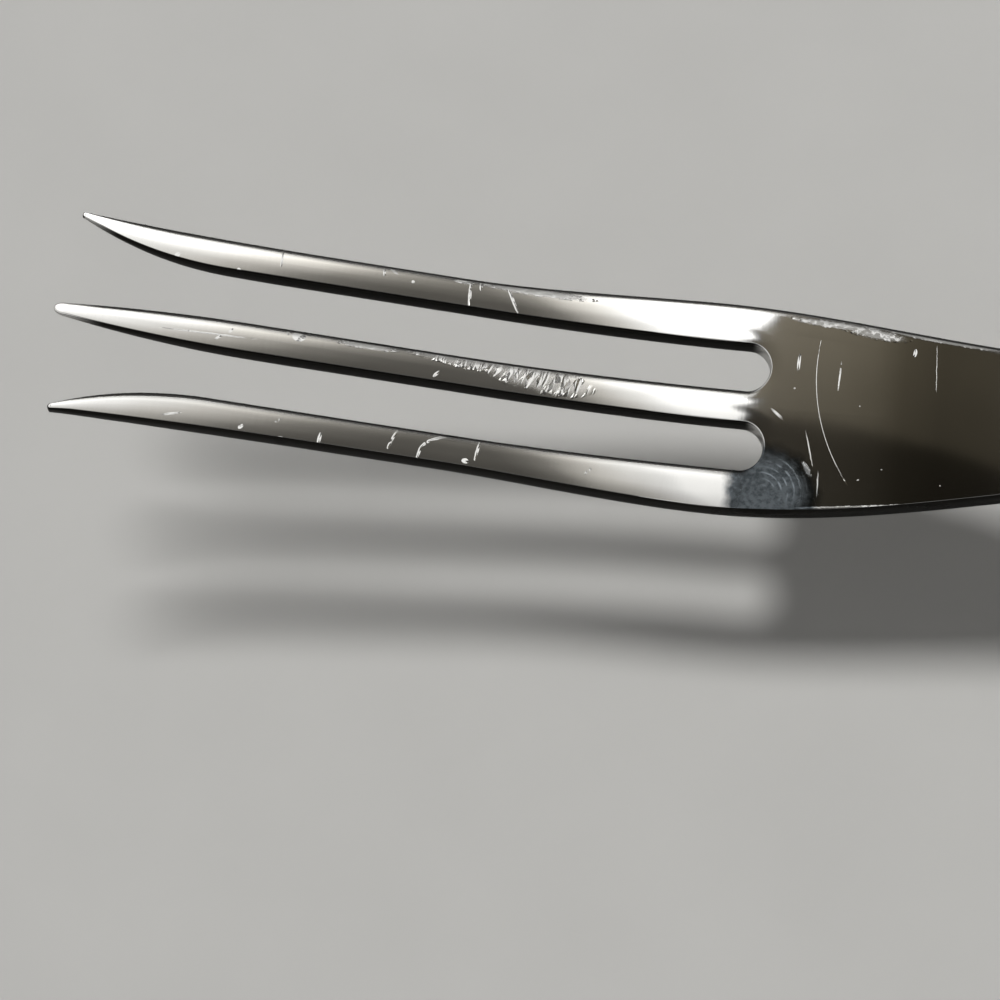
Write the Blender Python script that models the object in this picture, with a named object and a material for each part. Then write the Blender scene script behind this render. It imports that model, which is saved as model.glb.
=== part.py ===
# Three-tined carving fork: a stamped and pressed steel blade with a full tang,
# two wooden handle scales, and three two-part cutler's rivets that clamp them.
#
# The blade is laid out flat first, as a stamped blank, in two coordinates:
#   station  distance along the steel, 0 at the bottom of the slots,
#            negative towards the tips and positive towards the handle
#   side     distance from the centre line
# The blank is then carried along the side profile (straight tines, heel arc,
# neck arc, straight tang), which gives the pressed shape.
#
# World frame: +X from tips to butt, +Z up, the fork lying on its handle with
# the hollow side of the tines up. The origin is under the middle of the fork.

import math

import bmesh
import bpy
from mathutils import Vector

MM = 0.001

# Tines
TINE_LENGTH = 70.0 * MM            # slot bottom to the middle tip, along the steel
OUTER_TINE_SETBACK = 1.1 * MM      # how much shorter the two outer tines are
MIDDLE_TINE_WIDTH = 3.3 * MM
MIDDLE_TINE_ROOT_WIDTH = 3.55 * MM
OUTER_TINE_WIDTH = 3.25 * MM
SLOT_MOUTH_WIDTH = 4.95 * MM       # gap between tines over most of their length
SLOT_ROOT_WIDTH = 4.7 * MM         # gap just before the rounded slot bottom
SLOT_END_DEPTH = 2.1 * MM          # depth of the rounded slot bottom
MIDDLE_TIP_WIDTH = 1.1 * MM        # rounded end of the middle point
OUTER_TIP_WIDTH = 0.5 * MM         # rounded end of each outer point
MIDDLE_TIP_TAPER = 19.0 * MM       # length over which the middle tine draws to its point
OUTER_TIP_TAPER = 15.0 * MM        # the outer tines are pointed from the slot side only
TIP_SPREAD = 0.55 * MM             # outward lean of each outer tip
SPREAD_LENGTH = 26.0 * MM          # stretch of tine that leans

# Shoulder and neck
SHOULDER_WIDTH = 21.6 * MM
SHOULDER_SETBACK = 4.5 * MM        # widest place, in front of the slot bottoms
SHOULDER_FLARE = 27.0 * MM         # length over which the tines spread to the shoulder
SHOULDER_TAPER = 46.5 * MM         # length over which the shoulder narrows to the neck
NECK_WIDTH = 11.8 * MM

# Side profile
TINE_BEND_RADIUS = 165.0 * MM      # hollow bend in front of the slot bottoms
HEEL_RADIUS = 125.0 * MM           # hollow bend behind them
TINE_RISE_DEG = 10.2
NECK_RISE_DEG = 12.0
NECK_RADIUS = 95.0 * MM            # opposite bend that levels the neck into the tang
NECK_STRAIGHT = 18.0 * MM          # level steel in front of the handle

# Steel
STEEL_THICKNESS = 2.4 * MM
TINE_THICKNESS = 2.3 * MM          # where the points begin
TIP_THICKNESS = 0.4 * MM
TIP_THINNING = 17.0 * MM           # length over which a point is thinned from below
EDGE_RADIUS = 0.45 * MM

# Handle
HANDLE_LENGTH = 122.0 * MM
HANDLE_FRONT_WIDTH = 16.0 * MM
HANDLE_BELLY_WIDTH = 20.5 * MM
HANDLE_WAIST_WIDTH = 18.0 * MM
HANDLE_BUTT_WIDTH = 22.0 * MM
BELLY_SETBACK = 36.0 * MM          # from the front of the handle
WAIST_SETBACK = 74.0 * MM
BUTT_SETBACK = 13.0 * MM           # widest place of the butt, from the rear
BUTT_CORNER = 8.0 * MM             # plan radius of the butt's corners
SCALE_THICKNESS = 8.5 * MM
SCALE_EDGE_ACROSS = 4.6 * MM       # rounded long edges: across the handle
SCALE_EDGE_DOWN = 5.6 * MM         # and down its side
NOSE_LENGTH = 11.0 * MM            # rounded front of a scale
NOSE_STEP = 2.2 * MM               # thickness of a scale at its very front
BUTT_ROUND = 6.0 * MM              # rounded rear of a scale
BUTT_STEP = 4.0 * MM               # thickness of a scale at its very rear
GLUE_LINE = 0.1 * MM               # bond between tang and scale

# Rivets
FRONT_RIVET_SETBACK = 23.0 * MM    # from the front of the handle
REAR_RIVET_SETBACK = 21.0 * MM     # from the butt
RIVET_HEAD_DIAMETER = 7.0 * MM
RIVET_HEAD_HEIGHT = 2.4 * MM
RIVET_TUBE_DIAMETER = 4.8 * MM
RIVET_PIN_DIAMETER = 3.2 * MM
RIVET_PIN_END_GAP = 0.8 * MM       # space left at the bottom of the tube's bore
RIVET_CLEARANCE = 0.1 * MM         # round every part of a rivet

# Fineness of the facets
TINE_STATIONS = 20
TIP_STEPS = 5
SLOT_STEPS = 10
SHOULDER_STATIONS = 14
NECK_STATIONS = 7
HANDLE_STATIONS = 22
CORNER_STEPS = 5
EDGE_STEPS = 5
RIVET_SIDES = 32
STATION_CROWDING = 1.5             # over 1 sets a tine's stations closer near its point
BLADE_SHARP_DEG = 50               # edges turned further than this are shaded sharp
PIECE_SHARP_DEG = 35
MERGE_DISTANCE = 0.001 * MM

# Most that the rounded long edges take of a scale's half width and of its height
SCALE_EDGE_MOST_ACROSS = 0.8
SCALE_EDGE_MOST_DOWN = 0.7


def smooth(start, end, share):
    """Value on a smooth S-shaped blend, level at both ends."""
    share = min(max(share, 0.0), 1.0)
    return start + (end - start) * share * share * (3 - 2 * share)


def even(start, end, count):
    """Evenly spaced values, both ends included."""
    return [start + (end - start) * i / (count - 1) for i in range(count)]


# Side profile of the steel

TINE_RISE = math.radians(TINE_RISE_DEG)
NECK_RISE = math.radians(NECK_RISE_DEG)
HEEL_TO_TINES = TINE_BEND_RADIUS * TINE_RISE
HEEL_TO_NECK = HEEL_RADIUS * NECK_RISE
TANG_START = HEEL_TO_NECK + NECK_RADIUS * NECK_RISE
HANDLE_START = TANG_START + NECK_STRAIGHT
BLADE_END = HANDLE_START + HANDLE_LENGTH


def walk(bends, distance):
    """Run, rise and slope after a distance along arcs given as (length, curvature)."""
    run, rise, slope = 0.0, 0.0, 0.0
    for length, curvature in bends + [(math.inf, 0.0)]:
        step = min(length, distance)
        if curvature:
            turned = slope + curvature * step
            run += (math.sin(turned) - math.sin(slope)) / curvature
            rise += (math.cos(slope) - math.cos(turned)) / curvature
            slope = turned
        else:
            run += step * math.cos(slope)
            rise += step * math.sin(slope)
        distance -= step
        if distance <= 0:
            break
    return run, rise, slope


def profile(station):
    """Place (x, z) and slope of the middle of the steel, from the slot bottoms."""
    if station < 0:
        run, rise, slope = walk([(HEEL_TO_TINES, 1 / TINE_BEND_RADIUS)], -station)
        return -run, rise, -slope
    neck = [(HEEL_TO_NECK, 1 / HEEL_RADIUS), (TANG_START - HEEL_TO_NECK, -1 / NECK_RADIUS)]
    return walk(neck, station)


TIP_X, _, _ = profile(-TINE_LENGTH)
BUTT_X, TANG_RISE, _ = profile(BLADE_END)
ORIGIN_X = (TIP_X + BUTT_X) / 2
TANG_HEIGHT = SCALE_THICKNESS + GLUE_LINE + STEEL_THICKNESS / 2
HEEL_HEIGHT = TANG_HEIGHT - TANG_RISE


def in_world(station, side, height):
    """A point of the blank, at a height over the middle of the steel, in the fork's frame."""
    x, z, slope = profile(station)
    across = height * math.sin(slope)
    up = height * math.cos(slope)
    return Vector((x - ORIGIN_X - across, side, z + HEEL_HEIGHT + up))


# Outline of the flat blank

def handle_half_width(along):
    """Half the handle's width, at a distance behind its front."""
    if along < BELLY_SETBACK:
        width = smooth(HANDLE_FRONT_WIDTH, HANDLE_BELLY_WIDTH, along / BELLY_SETBACK)
    elif along < WAIST_SETBACK:
        share = (along - BELLY_SETBACK) / (WAIST_SETBACK - BELLY_SETBACK)
        width = smooth(HANDLE_BELLY_WIDTH, HANDLE_WAIST_WIDTH, share)
    else:
        share = (along - WAIST_SETBACK) / (HANDLE_LENGTH - BUTT_SETBACK - WAIST_SETBACK)
        width = smooth(HANDLE_WAIST_WIDTH, HANDLE_BUTT_WIDTH, share)
    into_corner = along - (HANDLE_LENGTH - BUTT_CORNER)
    if into_corner <= 0:
        return width / 2
    into_corner = min(into_corner, BUTT_CORNER)
    return width / 2 - BUTT_CORNER + math.sqrt(BUTT_CORNER ** 2 - into_corner ** 2)


def handle_stations():
    """Distances behind the handle's front: even ones, then closer ones round the butt's corners."""
    straight = even(0.0, HANDLE_LENGTH - BUTT_CORNER, HANDLE_STATIONS)
    turns = [math.pi / 2 * i / CORNER_STEPS for i in range(1, CORNER_STEPS + 1)]
    return straight + [HANDLE_LENGTH - BUTT_CORNER + BUTT_CORNER * math.sin(turn) for turn in turns]


def middle_edge(station):
    """Half the width of the middle tine before its point is drawn."""
    root_share = (station + SHOULDER_FLARE + SHOULDER_SETBACK) / SHOULDER_FLARE
    return smooth(MIDDLE_TINE_WIDTH, MIDDLE_TINE_ROOT_WIDTH, root_share) / 2


def slot_far_edge(station):
    """Side of the slot that belongs to an outer tine, before its point is drawn."""
    root_share = (station + SHOULDER_FLARE + SHOULDER_SETBACK) / SHOULDER_FLARE
    return middle_edge(station) + smooth(SLOT_MOUTH_WIDTH, SLOT_ROOT_WIDTH, root_share)


def outer_edge(station):
    """Half the width of the whole blade in front of the handle."""
    tines = MIDDLE_TINE_WIDTH / 2 + SLOT_MOUTH_WIDTH + OUTER_TINE_WIDTH
    if station < -SHOULDER_SETBACK:
        into_lean = -station - (TINE_LENGTH - SPREAD_LENGTH)
        lean = TIP_SPREAD * (max(into_lean, 0.0) / SPREAD_LENGTH) ** 2
        flare_share = (station + SHOULDER_FLARE + SHOULDER_SETBACK) / SHOULDER_FLARE
        return smooth(tines, SHOULDER_WIDTH / 2, flare_share) + lean
    taper_end = SHOULDER_TAPER - SHOULDER_SETBACK
    if station < taper_end:
        taper_share = (station + SHOULDER_SETBACK) / SHOULDER_TAPER
        return smooth(SHOULDER_WIDTH / 2, NECK_WIDTH / 2, taper_share)
    spread_share = (station - taper_end) / (HANDLE_START - taper_end)
    return smooth(NECK_WIDTH / 2, HANDLE_FRONT_WIDTH / 2, spread_share)


def drawn_to_point(full_size, tip_size, from_tip, taper_length):
    """Width or thickness of a tine near its point: least at the tip, full where the taper ends."""
    left = max(1 - from_tip / taper_length, 0.0)
    return tip_size + (full_size - tip_size) * (1 - left * left)


def tine_edges(is_middle, station, tip_station):
    """The two sides of a tine at a station, lower first; the outer tine is the one on the positive side."""
    from_tip = station - tip_station
    if is_middle:
        half = drawn_to_point(2 * middle_edge(station), MIDDLE_TIP_WIDTH, from_tip, MIDDLE_TIP_TAPER) / 2
        return -half, half
    outer = outer_edge(station)
    width = drawn_to_point(outer - slot_far_edge(station), OUTER_TIP_WIDTH, from_tip, OUTER_TIP_TAPER)
    return outer - width, outer


def tine_outline(is_middle):
    """One tine: its lower edge from root to tip, the round tip, and its upper edge from tip to root."""
    tip_station = -TINE_LENGTH + (0.0 if is_middle else OUTER_TINE_SETBACK)
    tip_depth = (MIDDLE_TIP_WIDTH if is_middle else OUTER_TIP_WIDTH) / 2
    round_start = tip_station + tip_depth
    shares = [1 - (1 - i / (TINE_STATIONS - 1)) ** STATION_CROWDING for i in range(TINE_STATIONS)]
    stations = [-SLOT_END_DEPTH + (round_start + SLOT_END_DEPTH) * share for share in shares]
    pairs = [tine_edges(is_middle, station, tip_station) for station in stations]
    lower, upper = pairs[-1]
    centre, radius = (lower + upper) / 2, (upper - lower) / 2
    tip = []
    for i in range(1, TIP_STEPS):
        turn = math.pi * i / TIP_STEPS
        tip.append((round_start - tip_depth * math.sin(turn), centre - radius * math.cos(turn)))
    return (
        [(station, pair[0]) for station, pair in zip(stations, pairs)],
        tip,
        [(station, pair[1]) for station, pair in zip(reversed(stations), reversed(pairs))],
    )


def slot_outline():
    """Rounded bottom of the slot above the middle tine, from the middle tine to the outer one."""
    near, far = middle_edge(-SLOT_END_DEPTH), slot_far_edge(-SLOT_END_DEPTH)
    centre, radius = (near + far) / 2, (far - near) / 2
    points = []
    for i in range(1, SLOT_STEPS):
        turn = math.pi * i / SLOT_STEPS
        points.append((-SLOT_END_DEPTH * (1 - math.sin(turn)), centre - radius * math.cos(turn)))
    return points


def body_outline():
    """Upper edge of shoulder, neck and tang, from the tine roots to the butt."""
    shoulder = even(-SLOT_END_DEPTH, SHOULDER_TAPER - SHOULDER_SETBACK, SHOULDER_STATIONS)[1:]
    neck = even(SHOULDER_TAPER - SHOULDER_SETBACK, HANDLE_START, NECK_STATIONS)[1:-1]
    points = [(station, outer_edge(station)) for station in shoulder + neck]
    return points + [(HANDLE_START + along, handle_half_width(along)) for along in handle_stations()]


def mirrored(points):
    """The same points on the other side of the centre line, in the opposite order."""
    return [(station, -side) for station, side in reversed(points)]


def blank():
    """The closed outline, and the faces that fill it as lists of places in the outline."""
    lower, tip, upper = tine_outline(False)
    middle_lower, middle_tip, middle_upper = tine_outline(True)
    slot, body = slot_outline(), body_outline()
    runs = [
        mirrored(body), mirrored(upper), mirrored(tip), mirrored(lower), mirrored(slot),
        middle_lower, middle_tip, middle_upper, slot, lower, tip, upper, body,
    ]
    outline, places = [], []
    for run in runs:
        places.append(list(range(len(outline), len(outline) + len(run))))
        outline += run

    faces = []
    for first in (1, 5, 9):
        one, end, other = places[first], places[first + 1], places[first + 2][::-1]
        for i in range(len(one) - 1):
            faces.append([one[i], one[i + 1], other[i + 1], other[i]])
        faces.append([one[-1]] + end + [other[-1]])
    right, left = places[0][::-1], places[12]
    roots = [places[1][0], places[3][-1]] + places[4] + [places[5][0], places[7][-1]] + places[8]
    roots += [places[9][0], places[11][-1]]
    faces.append([right[0]] + roots + [left[0]])
    for i in range(len(left) - 1):
        faces.append([right[i + 1], right[i], left[i], left[i + 1]])
    return outline, faces


# Solids

def thickness(station):
    """Thickness of the steel: thinner along the tines and thinnest at the points."""
    along = min(max(-station, 0.0), TINE_LENGTH)
    thinned = min(along / (TINE_LENGTH - TIP_THINNING), 1.0)
    sheet = STEEL_THICKNESS + (TINE_THICKNESS - STEEL_THICKNESS) * thinned
    return drawn_to_point(sheet, TIP_THICKNESS, TINE_LENGTH - along, TIP_THINNING)


def inset(outline, distances):
    """The closed outline moved inwards, square to itself, by one distance for each point."""
    moved = []
    for i, (station, side) in enumerate(outline):
        before, after = outline[i - 1], outline[(i + 1) % len(outline)]
        along = Vector((after[0] - before[0], after[1] - before[1])).normalized()
        moved.append((station + along.y * distances[i], side - along.x * distances[i]))
    return moved


def new_object(name, mesh, material):
    obj = bpy.data.objects.new(name, mesh)
    bpy.context.scene.collection.objects.link(obj)
    if material:
        mesh.materials.append(material)
    return obj


def shaded(mesh, sharp_degrees=PIECE_SHARP_DEG):
    mesh.shade_smooth()
    mesh.set_sharp_from_angle(angle=math.radians(sharp_degrees))


def make_blade(material):
    """The blank, given its thickness and rounded edges, carried along the side profile.

    The upper face follows the profile all the way, so the points are thinned from below.
    """
    outline, faces = blank()
    thick = [thickness(station) for station, _ in outline]
    radii = [EDGE_RADIUS * t / STEEL_THICKNESS for t in thick]
    corner = math.sin(math.pi / 4)
    rings = []
    for sign, turn in ((-1, 1.0), (-1, corner), (-1, 0.0), (1, 0.0), (1, corner), (1, 1.0)):
        moved = inset(outline, [r * (1 - math.sqrt(1 - turn * turn)) for r in radii])
        middles = [(STEEL_THICKNESS - t) / 2 for t in thick]
        heights = [m + sign * (t / 2 - r + r * turn) for m, t, r in zip(middles, thick, radii)]
        rings.append([in_world(s, v, h) for (s, v), h in zip(moved, heights)])

    mesh = bmesh.new()
    loops = [[mesh.verts.new(point) for point in ring] for ring in rings]
    count = len(outline)
    for below, above in zip(loops, loops[1:]):
        for i in range(count):
            j = (i + 1) % count
            mesh.faces.new((below[i], below[j], above[j], above[i]))
    for face in faces:
        mesh.faces.new([loops[0][i] for i in face])
        mesh.faces.new([loops[-1][i] for i in reversed(face)])
    bmesh.ops.recalc_face_normals(mesh, faces=mesh.faces)
    data = bpy.data.meshes.new("fork_blade")
    mesh.to_mesh(data)
    mesh.free()
    shaded(data, BLADE_SHARP_DEG)
    return new_object("fork_blade", data, material)


def scale_height(along):
    """Thickness of a scale: rounded up from its nose and down to its butt."""
    rise = fall = 1.0
    if along < NOSE_LENGTH:
        rise = math.sqrt(1 - (1 - along / NOSE_LENGTH) ** 2)
    from_rear = max(HANDLE_LENGTH - along, 0.0)
    if from_rear < BUTT_ROUND:
        fall = math.sqrt(1 - (1 - from_rear / BUTT_ROUND) ** 2)
    nose = NOSE_STEP + (SCALE_THICKNESS - NOSE_STEP) * rise
    butt = BUTT_STEP + (SCALE_THICKNESS - BUTT_STEP) * fall
    return min(nose, butt)


def scale_stations():
    """Distances behind the front: those of the tang's outline, and closer ones at the rounded ends."""
    quarter = [math.pi / 2 * i / CORNER_STEPS for i in range(CORNER_STEPS + 1)]
    nose = [NOSE_LENGTH * (1 - math.cos(turn)) for turn in quarter]
    butt = [HANDLE_LENGTH - BUTT_ROUND * (1 - math.cos(turn)) for turn in quarter]
    corner_start = HANDLE_LENGTH - max(BUTT_CORNER, BUTT_ROUND)
    middle = [a for a in handle_stations() if NOSE_LENGTH < a < corner_start]
    corner = [a for a in handle_stations() if a > corner_start]
    return sorted(set(nose + middle + [corner_start] + butt + corner))


def scale_section(along):
    """Section of a scale with rounded long edges, as (side, height over the tang), from foot to foot."""
    half, height = handle_half_width(along), scale_height(along)
    across = min(SCALE_EDGE_ACROSS, SCALE_EDGE_MOST_ACROSS * half)
    down = min(SCALE_EDGE_DOWN, SCALE_EDGE_MOST_DOWN * height)
    arc = []
    for i in range(EDGE_STEPS + 1):
        turn = math.pi / 2 * i / EDGE_STEPS
        arc.append((half - across + across * math.cos(turn), height - down + down * math.sin(turn)))
    return [(half, 0.0)] + arc + [(-side, up) for side, up in reversed(arc)] + [(-half, 0.0)]


def make_scale(name, facing, material):
    """A handle scale lofted through its sections; facing is 1 for the upper one, -1 for the lower."""
    seat = STEEL_THICKNESS / 2 + GLUE_LINE
    mesh = bmesh.new()
    rings = []
    for along in scale_stations():
        section = scale_section(along)
        places = [in_world(HANDLE_START + along, side, facing * (seat + up)) for side, up in section]
        rings.append([mesh.verts.new(place) for place in places])
    for ring, after in zip(rings, rings[1:]):
        for i in range(len(ring)):
            j = (i + 1) % len(ring)
            mesh.faces.new((ring[i], ring[j], after[j], after[i]))
    mesh.faces.new(rings[0])
    mesh.faces.new(reversed(rings[-1]))
    bmesh.ops.recalc_face_normals(mesh, faces=mesh.faces)
    data = bpy.data.meshes.new(name)
    mesh.to_mesh(data)
    mesh.free()
    shaded(data)
    return new_object(name, data, material)


def turned(name, profile_points, along, material):
    """A round piece turned about a rivet's axis, from points (radius, height over the tang's middle)."""
    mesh = bmesh.new()
    line = [mesh.verts.new((radius, 0, height)) for radius, height in profile_points]
    edges = [mesh.edges.new(pair) for pair in zip(line, line[1:])]
    bmesh.ops.spin(
        mesh, geom=line + edges, axis=(0, 0, 1), cent=(0, 0, 0), angle=math.tau, steps=RIVET_SIDES,
        use_merge=True,
    )
    bmesh.ops.remove_doubles(mesh, verts=mesh.verts, dist=MERGE_DISTANCE)
    bmesh.ops.recalc_face_normals(mesh, faces=mesh.faces)
    data = bpy.data.meshes.new(name)
    mesh.to_mesh(data)
    mesh.free()
    shaded(data)
    obj = new_object(name, data, material)
    obj.location = in_world(HANDLE_START + along, 0.0, 0.0)
    return obj


def rivet_places():
    """Names of the rivets and their distances behind the handle's front."""
    front, rear = FRONT_RIVET_SETBACK, HANDLE_LENGTH - REAR_RIVET_SETBACK
    return {"front": front, "middle": (front + rear) / 2, "rear": rear}


HEAD_SEAT = TANG_HEIGHT - RIVET_HEAD_HEIGHT     # a head is flush with the scale it sits in


def make_rivet_hole(place, along):
    """Cutter for one rivet: a hole right through the handle, wider at both ends for the heads."""
    head = RIVET_HEAD_DIAMETER / 2 + RIVET_CLEARANCE
    tube = RIVET_TUBE_DIAMETER / 2 + RIVET_CLEARANCE
    floor = HEAD_SEAT - RIVET_CLEARANCE
    past = TANG_HEIGHT + RIVET_HEAD_HEIGHT
    points = [(0, past), (head, past), (head, floor), (tube, floor)]
    points += [(radius, -height) for radius, height in reversed(points)]
    cutter = turned("rivet_hole_" + place, points, along, None)
    cutter.hide_render = True
    cutter.display_type = "WIRE"
    return cutter


def make_rivet(place, along, material):
    """The two halves of a cutler's rivet: a headed tube from below and a headed pin from above."""
    head, tube, pin = RIVET_HEAD_DIAMETER / 2, RIVET_TUBE_DIAMETER / 2, RIVET_PIN_DIAMETER / 2
    bore = pin + RIVET_CLEARANCE
    tube_top = HEAD_SEAT - RIVET_CLEARANCE
    bore_floor = -HEAD_SEAT
    turned("rivet_tube_" + place, [
        (0, bore_floor), (bore, bore_floor), (bore, tube_top), (tube, tube_top), (tube, -HEAD_SEAT),
        (head, -HEAD_SEAT), (head, -TANG_HEIGHT), (0, -TANG_HEIGHT),
    ], along, material)
    turned("rivet_pin_" + place, [
        (0, TANG_HEIGHT), (head, TANG_HEIGHT), (head, HEAD_SEAT), (pin, HEAD_SEAT),
        (pin, bore_floor + RIVET_PIN_END_GAP), (0, bore_floor + RIVET_PIN_END_GAP),
    ], along, material)


def drill(obj, cutters):
    """Cuts the rivet holes out of a piece."""
    for cutter in cutters:
        cut = obj.modifiers.new(cutter.name, "BOOLEAN")
        cut.operation = "DIFFERENCE"
        cut.object = cutter


# Materials

def make_material(name, colour, metallic, roughness):
    material = bpy.data.materials.new(name)
    material.use_nodes = True
    shader = material.node_tree.nodes["Principled BSDF"]
    shader.inputs["Base Color"].default_value = (*colour, 1.0)
    shader.inputs["Metallic"].default_value = metallic
    shader.inputs["Roughness"].default_value = roughness
    material.diffuse_color = (*colour, 1.0)
    return material


def main():
    for obj in list(bpy.data.objects):
        bpy.data.objects.remove(obj)
    steel = make_material("polished_steel", (0.60, 0.59, 0.57), 1.0, 0.22)
    rosewood = make_material("rosewood", (0.10, 0.035, 0.018), 0.0, 0.45)
    brass = make_material("brass", (0.72, 0.50, 0.22), 1.0, 0.3)

    blade = make_blade(steel)
    scales = [make_scale("upper_scale", 1, rosewood), make_scale("lower_scale", -1, rosewood)]
    holes = []
    for place, along in rivet_places().items():
        holes.append(make_rivet_hole(place, along))
        make_rivet(place, along, brass)
    for piece in [blade] + scales:
        drill(piece, holes)


main()
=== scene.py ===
import functools
import math

import bmesh
import bpy
import numpy as np
from mathutils import Matrix, Vector


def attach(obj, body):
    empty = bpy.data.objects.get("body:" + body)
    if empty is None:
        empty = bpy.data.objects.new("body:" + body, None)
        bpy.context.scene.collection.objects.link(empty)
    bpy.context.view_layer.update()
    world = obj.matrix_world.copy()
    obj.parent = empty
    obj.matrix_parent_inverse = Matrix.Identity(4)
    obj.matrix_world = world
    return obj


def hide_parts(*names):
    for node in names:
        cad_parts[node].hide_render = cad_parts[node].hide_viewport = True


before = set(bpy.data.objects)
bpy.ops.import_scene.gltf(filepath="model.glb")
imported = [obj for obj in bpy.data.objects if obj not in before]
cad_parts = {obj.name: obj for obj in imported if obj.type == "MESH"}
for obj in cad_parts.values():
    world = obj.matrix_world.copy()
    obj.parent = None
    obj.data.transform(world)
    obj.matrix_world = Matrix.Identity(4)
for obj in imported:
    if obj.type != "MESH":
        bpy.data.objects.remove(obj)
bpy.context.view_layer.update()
mm = 0.001          # every size below is in millimetres
mergeWithin = 1e-7  # metres
print("frame loaded:", len(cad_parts), "solids")


# small helpers

def srgb(hexText):
    # sRGB hex to linear: each channel over 255, then the sRGB curve undone
    share = np.array([int(hexText[i:i + 2], 16) for i in (1, 3, 5)]) / 255
    linear = np.where(share <= 0.04045, share / 12.92, ((share + 0.055) / 1.055) ** 2.4)
    return (*linear.tolist(), 1.0)


def addNode(tree, kind, inputs=None, output=0, **settings):
    # adds a node with its settings; an input is a value or a socket to link; gives back one output
    made = tree.nodes.new("ShaderNode" + kind)
    for name, value in settings.items():
        setattr(made, name, value)
    for name, value in (inputs or {}).items():
        if isinstance(value, bpy.types.NodeSocket):
            tree.links.new(value, made.inputs[name])
        else:
            made.inputs[name].default_value = value
    return made.outputs[output] if made.outputs else None


def newMaterial(name):
    # an empty material, and addNode for its tree
    material = bpy.data.materials.new(name)
    material.use_nodes = True
    material.node_tree.nodes.clear()
    return material, functools.partial(addNode, material.node_tree)


def addObject(name, data):
    # a new object in the scene
    made = bpy.data.objects.new(name, data)
    bpy.context.scene.collection.objects.link(made)
    return made


def meshFrom(name, points, faces, **layers):
    # points in metres, faces as rows of corner numbers, layers as one value for each point;
    # doubles are merged and the faces turned outwards
    mesh = bpy.data.meshes.new(name)
    mesh.from_pydata(points.tolist(), [], faces.tolist())
    for layer, values in layers.items():
        mesh.attributes.new(layer, "FLOAT", "POINT").data.foreach_set("value", values.astype(np.float32))
    work = bmesh.new()
    work.from_mesh(mesh)
    bmesh.ops.remove_doubles(work, verts=work.verts, dist=mergeWithin)
    bmesh.ops.recalc_face_normals(work, faces=work.faces)
    work.to_mesh(mesh)
    work.free()
    mesh.shade_smooth()
    return mesh


def addPiece(name, mesh, node, material):
    # a finished mesh as a piece of the fork, in place of the solid of that node
    piece = addObject(name, mesh)
    mesh.materials.clear()
    mesh.materials.append(material)
    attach(piece, "root")
    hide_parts(node)
    return piece


def smooth(start, end, share):
    # S-shaped blend, level at both ends: 3 times the share's square less 2 times its cube
    share = np.clip(share, 0, 1)
    return start + (end - start) * share * share * (3 - 2 * share)


def quads(one, other):
    # strip of faces between two rows of corner numbers
    return np.stack([one[:-1], one[1:], other[1:], other[:-1]], 1)


def tubeFaces(number):
    # faces between rows of corner numbers, each row closed round
    after = np.roll(number, -1, 1)
    return np.stack([number[:-1], number[1:], after[1:], after[:-1]], -1).reshape(-1, 4)


# steel blade: laid out flat as a stamped blank, then carried along its side profile
# station: distance along the steel, 0 at the slot bottoms, minus towards the tips
# side: distance from the centre line, plus towards the far edge

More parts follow.
